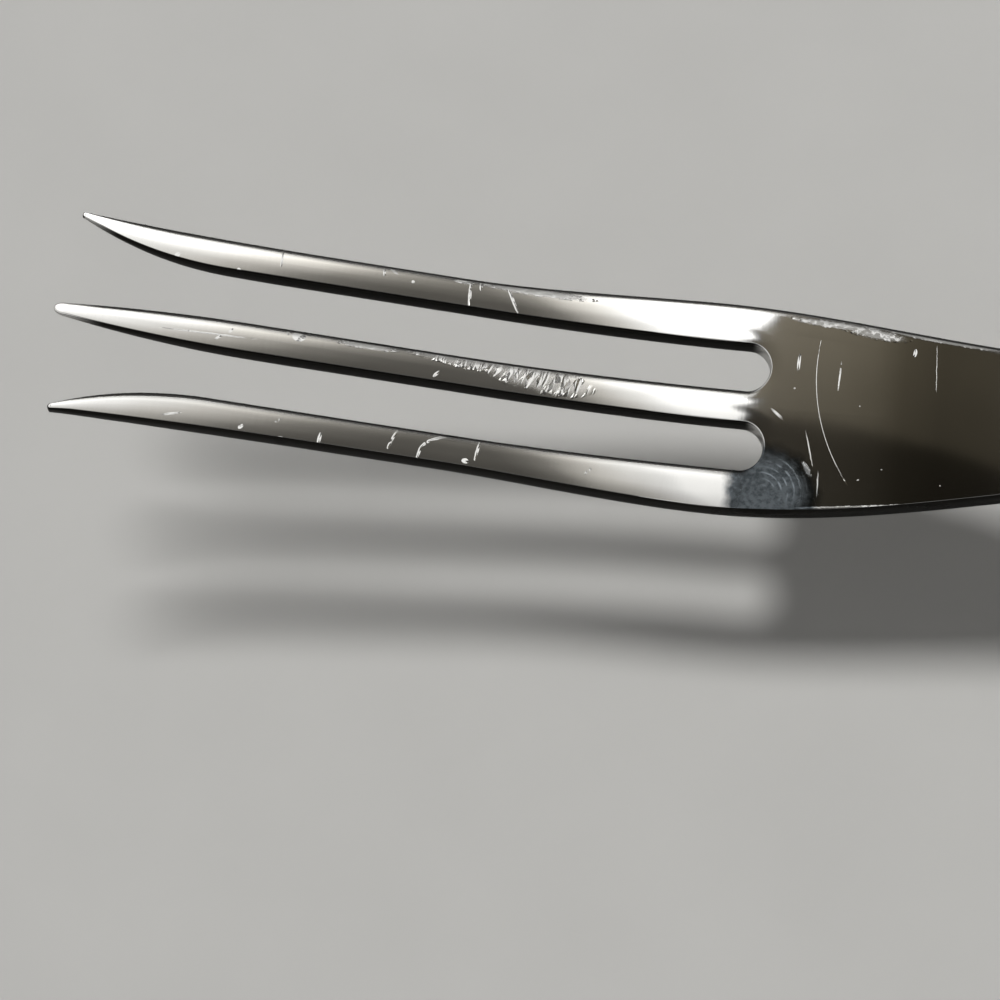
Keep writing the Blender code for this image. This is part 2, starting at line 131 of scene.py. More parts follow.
blade = dict(
    tineLength=70.0,            # slot bottom to the middle tip
    outerSetback=1.1,           # outer tines are this much shorter
    middleWidth=3.3,
    middleRootWidth=3.55,
    outerWidth=3.25,
    slotMouth=4.95,
    slotRoot=4.7,
    slotDepth=2.1,              # rounded slot bottom
    middleTip=1.1,
    middleTipRound=1.2,         # length of its oval end
    outerTip=0.5,
    middleTaper=19.0,           # length of each drawn point
    outerTaper=15.0,
    tipSpread=0.55,             # outward lean of the outer tips
    spreadLength=26.0,
    shoulderWidth=21.6,
    shoulderSetback=4.5,
    shoulderFlare=27.0,
    shoulderTaper=46.5,
    neckWidth=11.8,
    tineBendRadius=165.0,       # hollow bend in front of the slot bottoms
    heelRadius=125.0,           # and behind them
    tineRise=10.2,              # degrees
    neckRise=12.0,
    neckRadius=95.0,
    neckStraight=18.0,
    thickness=2.4,
    tineThickness=2.3,
    tipThickness=0.4,           # the points are thinned from below
    slotTipThickness=0.25,      # the outer points are finest on the slot side
    outerTipThickness=1.1,      # and stay thick on the outside
    tipThinning=24.0,           # length of the thinning
    tipEase=0.05,               # the tips stop this short, inside the solid's reach
    farEdge=0.6,                # how far in the polished edge rolls: on the worn far side,
    nearEdge=0.26,              # on the near side,
    slotEdgeRoll=0.26,          # round the slot bottoms,
    tangEdge=0.25,              # and along the tang
    edgePower=2.6,              # 2 is an ellipse, more is squarer
    edgeMost=0.4,               # largest share of the crown that the edge takes
    crownReach=1.6,             # how far in the face is crowned
    tangReach=0.3,
    crownMost=0.97,             # largest share of a tine's half width that the crown takes
    crownSlope=0.018,           # its slope at the edge
    outerTwist=(0.010, -0.008), # slopes by which the lower and upper tines lie askew
    twistFade=8.0,              # they turn over this length, which starts as far in front of the slots
    wallFrom=1.5,               # the edge takes the walls' painted shade from this lean, in degrees,
    wallFull=6.0,               # and fully from this one
    farWall=0.93,               # how strong the painted shade is on the far side,
    farShade=0.5,               # and the painted shade on the rim of the face beside it
    brightTip=5.0,              # the inner walls go without painted shade this far from the points,
    brightFrom=-1.9,            # go without it again at the slot bottoms, between these stations,
    brightTo=-0.7,
    brightTang=9.0,             # and over this length before the handle
    brightRoot=-6.0,            # near edges take the least painted shade at this station,
    brightReach=7.0,            # and more of it over this length to both sides:
    brightLean=(30.0, 55.0),    # it takes this much more lean there to take painted shade, and fully
    edgeRings=11,               # rings from the wall's middle to the face
    crownRings=3,               # rings from there to the middle of a tine
    crispShare=0.02,            # the first lies this close, to keep the roll's shading off the face
    tineSteps=140,
    tipCrowding=1.3,            # over 1 sets the steps closer towards the tips
    tipSteps=24,
    slotSteps=30,
    shoulderSteps=70,
    neckSteps=24,
    rootFade=14.0,              # length over which the mesh rows straighten behind the slots
)

handle = dict(
    length=122.0,
    frontWidth=16.0,
    bellyWidth=20.5,
    waistWidth=18.0,
    buttWidth=22.0,
    bellySetback=36.0,
    waistSetback=74.0,
    buttSetback=13.0,           # from the rear
    buttCorner=8.0,
    scaleThickness=8.5,
    edgeAcross=4.6,             # rounded long edges of a scale
    edgeDown=5.6,
    edgeMostAcross=0.8,         # largest share of its half width and height that they take
    edgeMostDown=0.7,
    noseLength=11.0,
    noseStep=2.2,
    buttRound=6.0,
    buttStep=4.0,
    glueLine=0.1,
    softEdge=0.2,               # broken edges of the wood
    straightSteps=60,
    cornerSteps=16,
    edgeSteps=14,
    roundSteps=13,              # nose and butt
    softSteps=5,
    footSteps=4,
    topSteps=12,
    sharpAngle=35.0,
)

unlimited = 99.0    # half width of an edge whose crown nothing limits
heelToTines = blade["tineBendRadius"] * math.radians(blade["tineRise"])
heelToNeck = blade["heelRadius"] * math.radians(blade["neckRise"])
tangStart = heelToNeck + blade["neckRadius"] * math.radians(blade["neckRise"])
handleStart = tangStart + blade["neckStraight"]
bladeEnd = handleStart + handle["length"]


def sideProfile(station):
    # middle of the steel from the side: straight tines, heel arc up both ways, neck arc back to level
    rise, neck = math.radians(blade["tineRise"]), math.radians(blade["neckRise"])
    bend, heel, over = blade["tineBendRadius"], blade["heelRadius"], blade["neckRadius"]
    front = np.clip(-station, 0, heelToTines) / bend
    back = np.clip(station, 0, heelToNeck) / heel
    level = np.clip(station - heelToNeck, 0, tangStart - heelToNeck) / over
    tine = np.maximum(-station - heelToTines, 0)
    tang = np.maximum(station - tangStart, 0)
    x = heel * np.sin(back) + over * (math.sin(neck) - np.sin(neck - level)) + tang
    x = x - bend * np.sin(front) - tine * math.cos(rise)
    z = heel * (1 - np.cos(back)) + over * (np.cos(neck - level) - math.cos(neck))
    z = z + bend * (1 - np.cos(front)) + tine * math.sin(rise)
    return x, z, back - front - level


tipX, _, _ = sideProfile(np.array(-blade["tineLength"]))
buttX, tangRise, _ = sideProfile(np.array(bladeEnd))
originX = float(tipX + buttX) / 2
tangHeight = handle["scaleThickness"] + handle["glueLine"] + blade["thickness"] / 2
heelHeight = tangHeight - float(tangRise)


def place(station, side, height):
    # a point of the blank, at a height over the middle of the steel, in metres in the fork's frame
    x, z, slope = sideProfile(station)
    points = [x - originX - height * np.sin(slope), side + 0 * x, z + heelHeight + height * np.cos(slope)]
    return np.stack(points, -1) * mm


def handleHalf(along):
    # half width behind the handle's front: S-blends front-belly-waist-butt, then round corners
    h = handle
    toBelly = smooth(h["frontWidth"], h["bellyWidth"], along / h["bellySetback"])
    toWaist = smooth(h["bellyWidth"], h["waistWidth"],
                     (along - h["bellySetback"]) / (h["waistSetback"] - h["bellySetback"]))
    toButt = smooth(h["waistWidth"], h["buttWidth"],
                    (along - h["waistSetback"]) / (h["length"] - h["buttSetback"] - h["waistSetback"]))
    width = np.where(along < h["waistSetback"], toWaist, toButt)
    width = np.where(along < h["bellySetback"], toBelly, width)
    into = np.clip(along - (h["length"] - h["buttCorner"]), 0, h["buttCorner"])
    return width / 2 - h["buttCorner"] + np.sqrt(h["buttCorner"] ** 2 - into ** 2)


def handleStations():
    # even steps, then closer ones round the butt's corners
    h = handle
    straight = np.linspace(0, h["length"] - h["buttCorner"], h["straightSteps"])
    turn = np.linspace(0, math.pi / 2, h["cornerSteps"] + 1)[1:]
    return np.concatenate([straight, h["length"] - h["buttCorner"] * (1 - np.sin(turn))])


def rootShare(station):
    # share of the way from the tines to the shoulder
    return (station + blade["shoulderFlare"] + blade["shoulderSetback"]) / blade["shoulderFlare"]


def middleEdge(station):
    # half the middle tine's width, an S-blend to its root
    return smooth(blade["middleWidth"], blade["middleRootWidth"], rootShare(station)) / 2


def slotEdge(station):
    # inner edge of an outer tine: the middle tine's edge and the slot's width
    return middleEdge(station) + smooth(blade["slotMouth"], blade["slotRoot"], rootShare(station))


def outerEdge(station):
    # half the blade's width: leaning tips, flare to the shoulder, taper to the neck, spread to the handle
    b = blade
    tines = b["middleWidth"] / 2 + b["slotMouth"] + b["outerWidth"]
    lean = np.maximum(-station - (b["tineLength"] - b["spreadLength"]), 0) / b["spreadLength"]
    flare = smooth(tines, b["shoulderWidth"] / 2, rootShare(station)) + b["tipSpread"] * lean ** 2
    taperEnd = b["shoulderTaper"] - b["shoulderSetback"]
    taper = smooth(b["shoulderWidth"] / 2, b["neckWidth"] / 2,
                   (station + b["shoulderSetback"]) / b["shoulderTaper"])
    spread = smooth(b["neckWidth"] / 2, handle["frontWidth"] / 2,
                    (station - taperEnd) / (handleStart - taperEnd))
    return np.where(station < -b["shoulderSetback"], flare, np.where(station < taperEnd, taper, spread))


def pointWidth(full, tip, fromTip, taper):
    # full size less a part that grows with the square of the way into the taper
    left = np.maximum(1 - fromTip / taper, 0)
    return tip + (full - tip) * (1 - left ** 2)


def thicknessAt(station, tip=blade["tipThickness"]):
    # the sheet thins a little along the tines and is drawn down at the points
    b = blade
    along = np.clip(-station, 0, b["tineLength"])
    share = np.minimum(along / (b["tineLength"] - b["tipThinning"]), 1)
    sheet = b["thickness"] + (b["tineThickness"] - b["thickness"]) * share
    return pointWidth(sheet, tip, b["tineLength"] - along, b["tipThinning"])


def tineRuns(middle):
    # one tine as three runs of (station, side, half width): lower edge out, round tip, upper edge back
    b = blade
    tip = -b["tineLength"] + b["tipEase"] + (0 if middle else b["outerSetback"])
    depth = b["middleTipRound"] if middle else b["outerTip"] / 2
    share = 1 - (1 - np.linspace(0, 1, b["tineSteps"])) ** b["tipCrowding"]
    station = -b["slotDepth"] + (tip + depth + b["slotDepth"]) * share
    if middle:
        upper = pointWidth(2 * middleEdge(station), b["middleTip"], station - tip, b["middleTaper"]) / 2
        lower = -upper
    else:
        upper = outerEdge(station)
        lower = upper - pointWidth(upper - slotEdge(station), b["outerTip"], station - tip, b["outerTaper"])
    turn = np.linspace(0, math.pi, b["tipSteps"] + 2)[1:-1]
    centre, radius = (lower[-1] + upper[-1]) / 2, (upper[-1] - lower[-1]) / 2
    bend = radius * (1 - (1 - min(1, radius / depth)) * np.sin(turn))   # down to the tip's own radius
    tipRun = np.stack([tip + depth * (1 - np.sin(turn)), centre - radius * np.cos(turn), bend], 1)
    half = (upper - lower) / 2
    return np.stack([station, lower, half], 1), tipRun, np.stack([station, upper, half], 1)[::-1]


def slotRun():
    # rounded bottom of the slot above the middle tine
    near, far = middleEdge(-blade["slotDepth"]), slotEdge(-blade["slotDepth"])
    turn = np.linspace(0, math.pi, blade["slotSteps"] + 2)[1:-1]
    station = -blade["slotDepth"] * (1 - np.sin(turn))
    return np.stack([station, (near + far) / 2 - (far - near) / 2 * np.cos(turn), 0 * turn + unlimited], 1)


def bodyRun():
    # upper edge of shoulder, neck and tang, from the tine roots to the butt
    taperEnd = blade["shoulderTaper"] - blade["shoulderSetback"]
    shoulder = np.linspace(-blade["slotDepth"], taperEnd, blade["shoulderSteps"])[1:]
    neck = np.linspace(taperEnd, handleStart, blade["neckSteps"])[1:-1]
    front = np.concatenate([shoulder, neck])
    along = handleStations()
    station = np.concatenate([front, handleStart + along])
    side = np.concatenate([outerEdge(front), handleHalf(along)])
    return np.stack([station, side, 0 * side + unlimited], 1)


def mirrored(run):
    # the same run on the other side of the centre line, walked backwards
    return run[::-1] * np.array([1, -1, 1])


def edgeProfile():
    # from the wall's middle to the face, for each ring: share of the edge's reach (1 - cos^(2/n) a),
    # share of the crown's reach, and share of half the thickness (sin^(2/n) a)
    turn = math.pi / 2 * np.sin(np.linspace(0, math.pi / 2, blade["edgeRings"] + 1))
    power = 2 / blade["edgePower"]
    edge = 1 - np.cos(turn) ** power
    edge[-1] = 1
    crown = np.linspace(0, 1, blade["crownRings"] + 1)
    crown[0] = blade["crispShare"]
    return (np.concatenate([edge, 1 + 0 * crown])[:, None], np.concatenate([0 * edge, crown])[:, None],
            np.concatenate([np.sin(turn) ** power, 1 + 0 * crown])[:, None])


def bladeMesh():
    # the edge profile carried round the outline, and grids that fill the two faces
    b = blade
    lower, tip, upper = tineRuns(False)
    midLower, midTip, midUpper = tineRuns(True)
    slot, body = slotRun(), bodyRun()
    rootCount = 2 * b["slotSteps"] + 6      # two slot bottoms, and the two corners of each tine
    buttSide = np.linspace(body[-1, 1], -body[-1, 1], rootCount)[1:-1]
    butt = np.stack([0 * buttSide + bladeEnd, buttSide, 0 * buttSide + unlimited], 1)
    # once round: body 0, tine 1 to 3, slot 4, middle tine 5 to 7, slot 8, tine 9 to 11, body 12, butt 13
    runs = [mirrored(body), mirrored(upper), mirrored(tip), mirrored(lower), mirrored(slot),
            midLower, midTip, midUpper, slot, lower, tip, upper, body, butt]
    outline = np.concatenate(runs)
    ends = np.cumsum([0] + [len(run) for run in runs])
    spots = [np.arange(ends[i], ends[i + 1]) for i in range(len(runs))]
    count = len(outline)

    along = np.roll(outline[:, :2], -1, 0) - np.roll(outline[:, :2], 1, 0)
    along /= np.linalg.norm(along, axis=1, keepdims=True)
    inward = np.stack([along[:, 1], -along[:, 0]], 1)
    toTang = (outline[:, 0] - tangStart) / b["neckStraight"]
    reach = np.minimum(smooth(b["crownReach"], b["tangReach"], toTang), b["crownMost"] * outline[:, 2])
    far = (1 - inward[:, 1]) / 2            # 1 on edges that face the far side, 0 on near ones
    slots = np.concatenate([spots[4], spots[8]])
    bottom = np.zeros(count)
    bottom[slots] = 1 + outline[slots, 0] / b["slotDepth"]
    roll = smooth(smooth(b["nearEdge"], b["farEdge"], far), b["slotEdgeRoll"], bottom)
    edge = np.minimum(smooth(roll, b["tangEdge"], toTang), b["edgeMost"] * reach)

    # thickness at the tips: the outer points are thick outside and fine towards the slots
    tipThick = np.full(count, b["tipThickness"])
    fine, thick = b["slotTipThickness"], b["outerTipThickness"]
    for run, start, end in ((9, fine, fine), (10, fine, thick), (11, thick, thick)):
        ramp = np.linspace(start, end, len(spots[run]))
        tipThick[spots[run]] = ramp
        tipThick[spots[12 - run]] = ramp[::-1]
    # painted shade on the walls is left off along the handle, and inside the head at the points and slot
    # bottoms, where bare steel shows
    dark = smooth(1, 0, 1 + (outline[:, 0] - handleStart) / b["brightTang"])
    inner = np.arange(ends[3], ends[10])
    dark[inner] = smooth(0, 1, (outline[inner, 0] + b["tineLength"]) / b["brightTip"])
    dark[slots] = smooth(1, 0, (outline[slots, 0] - b["brightFrom"]) / (b["brightTo"] - b["brightFrom"]))
    half = thicknessAt(outline[:, 0], tipThick)[None] / 2

    edgeShare, crownShare, heightShare = edgeProfile()
    inset = edge * edgeShare + (reach - edge) * crownShare
    drop = b["crownSlope"] * reach / 2 * (1 - inset / reach) ** 2
    # painted shade: each ring of the edge is painted darker the steeper it leans, standing in for the dark
    # surroundings it mirrors
    lean = np.degrees(np.arctan2((1 - edgeShare) ** (b["edgePower"] - 1) * half / edge,
                                 heightShare ** (b["edgePower"] - 1)))
    # near edges by the tine roots take the painted shade only at a steeper lean
    root = smooth(0, 1, 1 - abs(outline[:, 0] - b["brightRoot"]) / b["brightReach"]) * (far < 0.5)
    start, full = b["wallFrom"] + b["brightLean"][0] * root, b["wallFull"] + b["brightLean"][1] * root
    wallHalf = smooth(0, 1, (lean - start) / (full - start)) * (1 - (1 - b["farWall"]) * far)
    # the far rim of the face takes some painted shade too
    rim = slice(-b["crownRings"] - 3, -b["crownRings"])     # the last rings of the roll and the close one
    wallHalf[rim] = np.maximum(wallHalf[rim], b["farShade"] * far)
    wallHalf = dark * wallHalf
    levels = np.concatenate([np.arange(len(inset))[:0:-1], np.arange(len(inset))])
    sign = np.concatenate([-np.ones(len(inset) - 1), np.ones(len(inset))])[:, None]
    ring = outline[None, :, :2] + inward[None] * inset[levels][..., None]
    top = b["thickness"] / 2        # the upper face keeps to the profile, so the points thin from below
    # each outer tine turns about its own middle: height falls by the twist times the distance from there
    tine = np.sign(outline[:, 1]) * (abs(outline[:, 1]) > slotEdge(0) - b["slotRoot"] / 2)
    twist = np.where(tine > 0, *b["outerTwist"][::-1]) * abs(tine)
    twist = smooth(0, twist, -1 - outline[:, 0] / b["twistFade"])
    centre = tine * (slotEdge(0) + b["outerWidth"] / 2)
    height = top - half + sign * (heightShare[levels] * half - drop[levels])
    height = height - twist * (ring[..., 1] - centre)
    rings = place(ring[..., 0], ring[..., 1], height)
    wall = wallHalf[levels].reshape(-1)
    faces = [tubeFaces(np.arange(wall.size).reshape(len(levels), -1))]

    # face grids: a strip down each tine, then rows from the slot bottoms to the butt
    flat = ring[-1]
    roots = np.concatenate([spots[1][:1], spots[3][-1:], spots[4], spots[5][:1], spots[7][-1:], spots[8],
                            spots[9][:1], spots[11][-1:]])
    right, left = spots[0][::-1], spots[12]
    front = flat[roots]
    across = (front[:, 1] - front[0, 1]) / (front[-1, 1] - front[0, 1])
    rowStation = (flat[right, 0] + flat[left, 0])[:-1, None] / 2
    rowSide = flat[right, 1][:-1, None] * (1 - across) + flat[left, 1][:-1, None] * across
    straight = np.stack([0 * across + front[0, 0], front[0, 1] + (front[-1, 1] - front[0, 1]) * across], 1)
    fade = np.clip(1 - (rowStation - front[0, 0]) / b["rootFade"], 0, 1)
    gridStation = rowStation + fade * (front - straight)[:, 0]
    gridSide = rowSide + fade * (front - straight)[:, 1]
    inner = np.stack([gridStation, gridSide], -1)[:, 1:-1]
    rows = len(inner)
    cores = []
    total = wall.size
    for level, facing in ((0, -1), (len(levels) - 1, 1)):
        base = level * count
        halfCore = thicknessAt(inner[..., 0]) / 2
        cores.append(place(inner[..., 0], inner[..., 1], top - halfCore + facing * halfCore).reshape(-1, 3))
        numbers = total + np.arange(rows * (len(roots) - 2)).reshape(rows, -1)
        total += numbers.size
        table = np.concatenate([base + right[:-1, None], numbers, base + left[:-1, None]], 1)
        last = base + np.concatenate([right[-1:], spots[13][::-1], left[-1:]])
        table = np.concatenate([base + roots[None], table, last[None]], 0)
        faces += [quads(table[i], table[i + 1]) for i in range(len(table) - 1)]
        for first in (1, 5, 9):
            tipSpots = spots[first + 1]
            middle = len(tipSpots) // 2
            one = np.concatenate([spots[first], tipSpots[:middle]])
            other = np.concatenate([spots[first + 2][::-1], tipSpots[::-1][:middle]])
            faces.append(quads(base + one, base + other))
    points = np.concatenate([rings.reshape(-1, 3)] + cores)
    wall = np.concatenate([wall, np.zeros(len(points) - len(wall))])
    return meshFrom("forkBlade", points, np.concatenate(faces), wall=wall)


# rivets and the holes they sit in

rivet = dict(
    frontSetback=23.0,
    rearSetback=21.0,
    headDiameter=7.0,
    headHeight=2.4,
    tubeDiameter=4.8,
    pinDiameter=3.2,
    pinEndGap=0.8,
    clearance=0.1,
    chamfer=0.12,
    dome=0.10,                  # middle of a head over its rim, kept inside the handle's height
    domeSteps=12,
    sides=96,
    sharpAngle=30.0,
)
frontRivet = rivet["frontSetback"]
rearRivet = handle["length"] - rivet["rearSetback"]
rivetPlaces = dict(front=frontRivet, middle=(frontRivet + rearRivet) / 2, rear=rearRivet)
headSeat = tangHeight - rivet["headHeight"]


def turnedMesh(name, profile, along):
    # a line of (radius, height) turned about a rivet's axis: radius times cos and sin of the angle
    radius, height = np.array(profile).T
    turn = np.linspace(0, 2 * math.pi, rivet["sides"], endpoint=False)
    x = radius[:, None] * np.cos(turn)
    y = radius[:, None] * np.sin(turn)
    z = height[:, None] + 0 * turn
    points = (np.stack([x, y, z], -1) * mm + place(np.array(handleStart + along), 0, 0)).reshape(-1, 3)
    return meshFrom(name, points, tubeFaces(np.arange(len(points)).reshape(len(radius), -1)))


def headProfile(facing):
    # rim with a small chamfer, then a shallow dome: height falls with the square of the radius
    r = rivet
    outer = r["headDiameter"] / 2
    rim = outer - r["chamfer"]
    radius = np.linspace(0, rim, r["domeSteps"])
    top = tangHeight - r["dome"] * (radius / rim) ** 2
    edge = [(outer, tangHeight - r["dome"] - r["chamfer"]), (outer, headSeat)]
    return [(a, facing * h) for a, h in list(zip(radius, top)) + edge]


def drilled(mesh, cutters):
    # the mesh with the rivet holes cut out of it
    blank = addObject("blank", mesh)
    for cutter in cutters:
        cut = blank.modifiers.new("hole", "BOOLEAN")
        cut.operation = "DIFFERENCE"
        cut.object = cutter
    shaped = blank.evaluated_get(bpy.context.evaluated_depsgraph_get())
    result = bpy.data.meshes.new_from_object(shaped)
    bpy.data.objects.remove(blank)
    return result


def makeHoleCutters():
    # stepped pins, wide at both ends for the heads, with the clearance all round
    cutters = []
    head = rivet["headDiameter"] / 2 + rivet["clearance"]
    tube = rivet["tubeDiameter"] / 2 + rivet["clearance"]
    floor, past = headSeat - rivet["clearance"], tangHeight + rivet["headHeight"]
    top = [(0, past), (head, past), (head, floor), (tube, floor)]
    for along in rivetPlaces.values():
        mesh = turnedMesh("hole", top + [(radius, -height) for radius, height in reversed(top)], along)
        cutters.append(addObject("hole", mesh))
    bpy.context.view_layer.update()
    return cutters


# wooden scales

def scaleHeight(along):
    # quarter-ellipse rise at the nose and fall at the butt
    h = handle
    nose = np.clip(1 - along / h["noseLength"], 0, 1)
    butt = np.clip(1 - (h["length"] - along) / h["buttRound"], 0, 1)
    front = h["noseStep"] + (h["scaleThickness"] - h["noseStep"]) * np.sqrt(1 - nose ** 2)
    rear = h["buttStep"] + (h["scaleThickness"] - h["buttStep"]) * np.sqrt(1 - butt ** 2)
    return np.minimum(front, rear)


def scaleMesh(name, facing):
    # section with quarter-ellipse long edges and softened foot, lofted along the handle;
    # at both ends the section draws in by a quarter circle of the soft edge
    h = handle
    turn = np.linspace(0, math.pi / 2, h["roundSteps"])
    soft = h["softEdge"] * (1 - np.cos(np.linspace(0, math.pi / 2, h["softSteps"])))
    nose = h["noseLength"] * (1 - np.cos(turn))
    butt = h["length"] - h["buttRound"] * (1 - np.cos(turn))
    along = np.concatenate([nose, butt, handleStations(), soft, h["length"] - soft])
    along = np.unique(np.round(along, 3))
    near = np.clip(1 - np.minimum(along, h["length"] - along) / h["softEdge"], 0, 1)
    inset = (h["softEdge"] * (1 - np.sqrt(1 - near ** 2)))[:, None]
    half, height = handleHalf(along)[:, None] - inset, scaleHeight(along)[:, None] - inset
    across = np.minimum(h["edgeAcross"], h["edgeMostAcross"] * half)
    down = np.minimum(h["edgeDown"], h["edgeMostDown"] * height)
    arc = np.linspace(0, math.pi / 2, h["edgeSteps"])
    foot = np.linspace(0, math.pi / 2, h["footSteps"])
    footSide = half - h["softEdge"] * (1 - np.sin(foot))
    footUp = inset + h["softEdge"] * (1 - np.cos(foot))
    side = np.concatenate([footSide, half - across + across * np.cos(arc)], 1)
    up = np.concatenate([footUp, height - down + down * np.sin(arc)], 1)
    crown = (half - across) * np.linspace(1, -1, h["topSteps"])[1:-1]
    side = np.concatenate([side, crown, -side[:, ::-1]], 1)
    up = np.concatenate([up, 0 * crown + height, up[:, ::-1]], 1)
    seat = blade["thickness"] / 2 + h["glueLine"]
    station = (handleStart + along)[:, None] + 0 * side
    points = place(station, side, facing * (seat + up)).reshape(-1, 3)
    number = np.arange(len(points)).reshape(len(along), -1)
    faces = [tubeFaces(number)]
    pairs = np.arange(number.shape[1] // 2)
    for row in (number[0], number[-1]):
        faces.append(quads(row[pairs], row[::-1][pairs]))
    return meshFrom(name, points, np.concatenate(faces))


# finishes

# marks of use on the hollow side: station, side, length, width in millimetres, turn in degrees
marks = [
    # top tine
    (-49.0, 8.6, 1.8, 0.24, 92), (-59.1, 7.4, 0.6, 0.45, 40), (-53.0, 6.8, 0.4, 0.4, 0),
    (-38.9, 8.9, 0.9, 0.24, 95), (-38.0, 9.2, 1.0, 0.24, -30), (-36.0, 8.4, 0.3, 0.3, 0),
    (-30.3, 8.0, 2.6, 0.32, 92), (-31.0, 9.2, 2.0, 0.34, 0), (-29.3, 9.0, 0.9, 0.28, 95),
    (-28.2, 9.4, 1.8, 0.3, 4), (-26.0, 8.1, 3.2, 0.3, -63), (-24.7, 9.3, 1.0, 0.5, 20),
    (-22.9, 9.3, 2.0, 0.4, 0),
    # middle tine
    (-54.9, -0.25, 9.4, 0.16, 2), (-53.9, -0.5, 0.8, 0.26, 40), (-52.8, 0.4, 0.6, 0.3, 60),
    (-47.3, 1.1, 0.6, 0.3, 90), (-46.2, 0.85, 1.3, 1.0, 0), (-32.5, -0.8, 0.9, 0.3, 50),
    # bottom tine
    (-57.1, -8.95, 1.9, 0.22, 17), (-47.0, -8.0, 0.6, 0.3, 45), (-50.4, -9.2, 0.6, 0.36, 50),
    (-46.4, -9.8, 1.4, 0.4, 0), (-42.8, -9.2, 1.3, 0.36, 85), (-35.85, -8.15, 2.2, 0.28, 70),
    (-33.15, -9.1, 1.8, 0.28, 78), (-32.6, -8.0, 1.4, 0.28, 45), (-31.3, -7.25, 2.5, 0.28, 23),
    (-29.3, -6.85, 2.4, 0.26, 3), (-27.55, -7.95, 2.2, 0.28, 81), (-28.6, -9.2, 0.7, 0.5, 0),
    (-16.6, -8.5, 1.0, 0.28, 50),
    # shoulder
    (4.55, -3.85, 3.8, 0.1, -75), (2.8, 5.0, 1.9, 0.3, 88), (6.9, 3.9, 3.2, 0.14, 88),
    (14.05, 6.75, 0.9, 0.34, 85), (16.25, 5.2, 5.2, 0.056, 93), (1.15, -0.55, 1.7, 0.24, -40),
    (2.6, 2.3, 0.2, 0.12, 0), (5.65, -7.4, 2.8, 0.11, -88), (9.1, 0.9, 0.14, 0.1, 30),
    (11.7, -5.5, 0.14, 0.1, 0), (9.5, -6.7, 0.24, 0.1, 20), (17.4, -6.8, 0.14, 0.1, 0),
]
# where nicks crowd together, coarse ones and fine ones: station, side, length, width, turn
scuffs = [(-29.6, 1.0, 13.0, 1.7, -4), (-22.6, 0.25, 12.0, 2.9, -6)]
chips = [
    (-39.5, 0.95, 6.5, 0.7, 0), (-23.5, 9.25, 12.0, 0.8, 0), (6.2, 9.2, 10.0, 0.8, -5),
    (10.2, 8.5, 7.0, 1.2, -8), (16.5, 8.15, 13.0, 0.5, -9), (8.5, -9.5, 30.0, 0.19, 6),
    (4.5, -6.0, 1.8, 0.55, -60),
]
steelFinish = dict(
    face="#cecdca",
    smudge="#c7c6c2",
    edge="#1f1e1c",             # painted shade on the blanked edges, standing in for the dark floor and room that they mirror
    patch="#61676b",            # dull place at the root of the bottom tine
    patchDeep="#454a4d",        # darker specks in it
    patchArc="#8d959b",         # and the arcs rubbed into it
    roughness=0.036,
    smudgeRoughness=0.012,
    edgeRoughness=0.2,
    grazing="#c8c8c8",          # steel mirrors a little less at a glancing angle
    patchRoughness=0.36,
    scuffRoughness=0.13,
    chipRoughness=0.24,
    raggedSize=0.5,             # unevenness round every mark: its size, and how far it pushes the rim
    raggedReach=0.09,
    markSlope=0.3,              # steepness of the sides of a mark
    markReach=1.5,              # marks reach this far down, so they stay on the hollow side
    unevenSize=1.3,             # marks come and go over this length, between these levels of a noise
    unevenBand=(0.34, 0.37),
    scratchRadius=20.6,         # long curved scratch over the shoulder
    scratchTurn=(4.6, 4.8),     # the place where it runs straight across
    scratchMiddle=(5.0, -0.2),
    scratchLength=16.2,
    scratchWidth=0.056,
    scratchGain=2.5,            # how soon it is full, counted from its ends
    crowdGain=2.2,              # and how soon a crowded place is, from its rim
    scuffLength=1.5,            # coarse nicks run across the tine
    scuffWidth=0.4,
    scuffShare=0.5,             # share of the cells left flat
    chipLength=0.32,
    chipWidth=0.36,
    chipShare=0.58,
    shareSoft=0.05,             # cells this close to the share are raised in part
    nickTurn=-14.0,
    patchMiddle=(0.6, -9.0),
    patchSize=11.4,
    patchFringe=0.5,            # share of its radius over which it fades
    patchCut=(-3.6, -1.2),      # stations between which it starts
    patchDrift=1.2,             # how far its rim wanders
    patchRough=1.3,
    patchPower=2.0,             # over 1 keeps the roughness to its middle
    stainGain=2.5,              # and the stain is full this soon from its rim
    speckSize=0.4,
    speckBand=(0.35, 0.6),
    arcMiddle=(0.2, -8.7),
    arcGap=0.62,
    arcPlace=(2.6, -6.8),       # where the arcs show
    arcSpread=6.0,
    arcBreak=0.9,               # length over which they come and go
    arcBand=(0.4, 0.65),
    arcGain=2.2,
    arcFrom=0.5,                # an arc starts at this height of its wave
    waveLength=8.0,             # hand-polished sheet is never quite flat
    waveDepth=0.003,
    buffLength=3.0,             # lines left across by the buffing wheel, drawn coarser than real
    buffWidth=0.35,
    buffDepth=0.0003,
    smudgeSize=9.0,
    smudgeBand=(0.4, 0.7),
)


def faceSpot(station, side):
    # the place on the hollow side, in metres
    return tuple(place(np.array(float(station)), side, blade["thickness"] / 2).tolist())


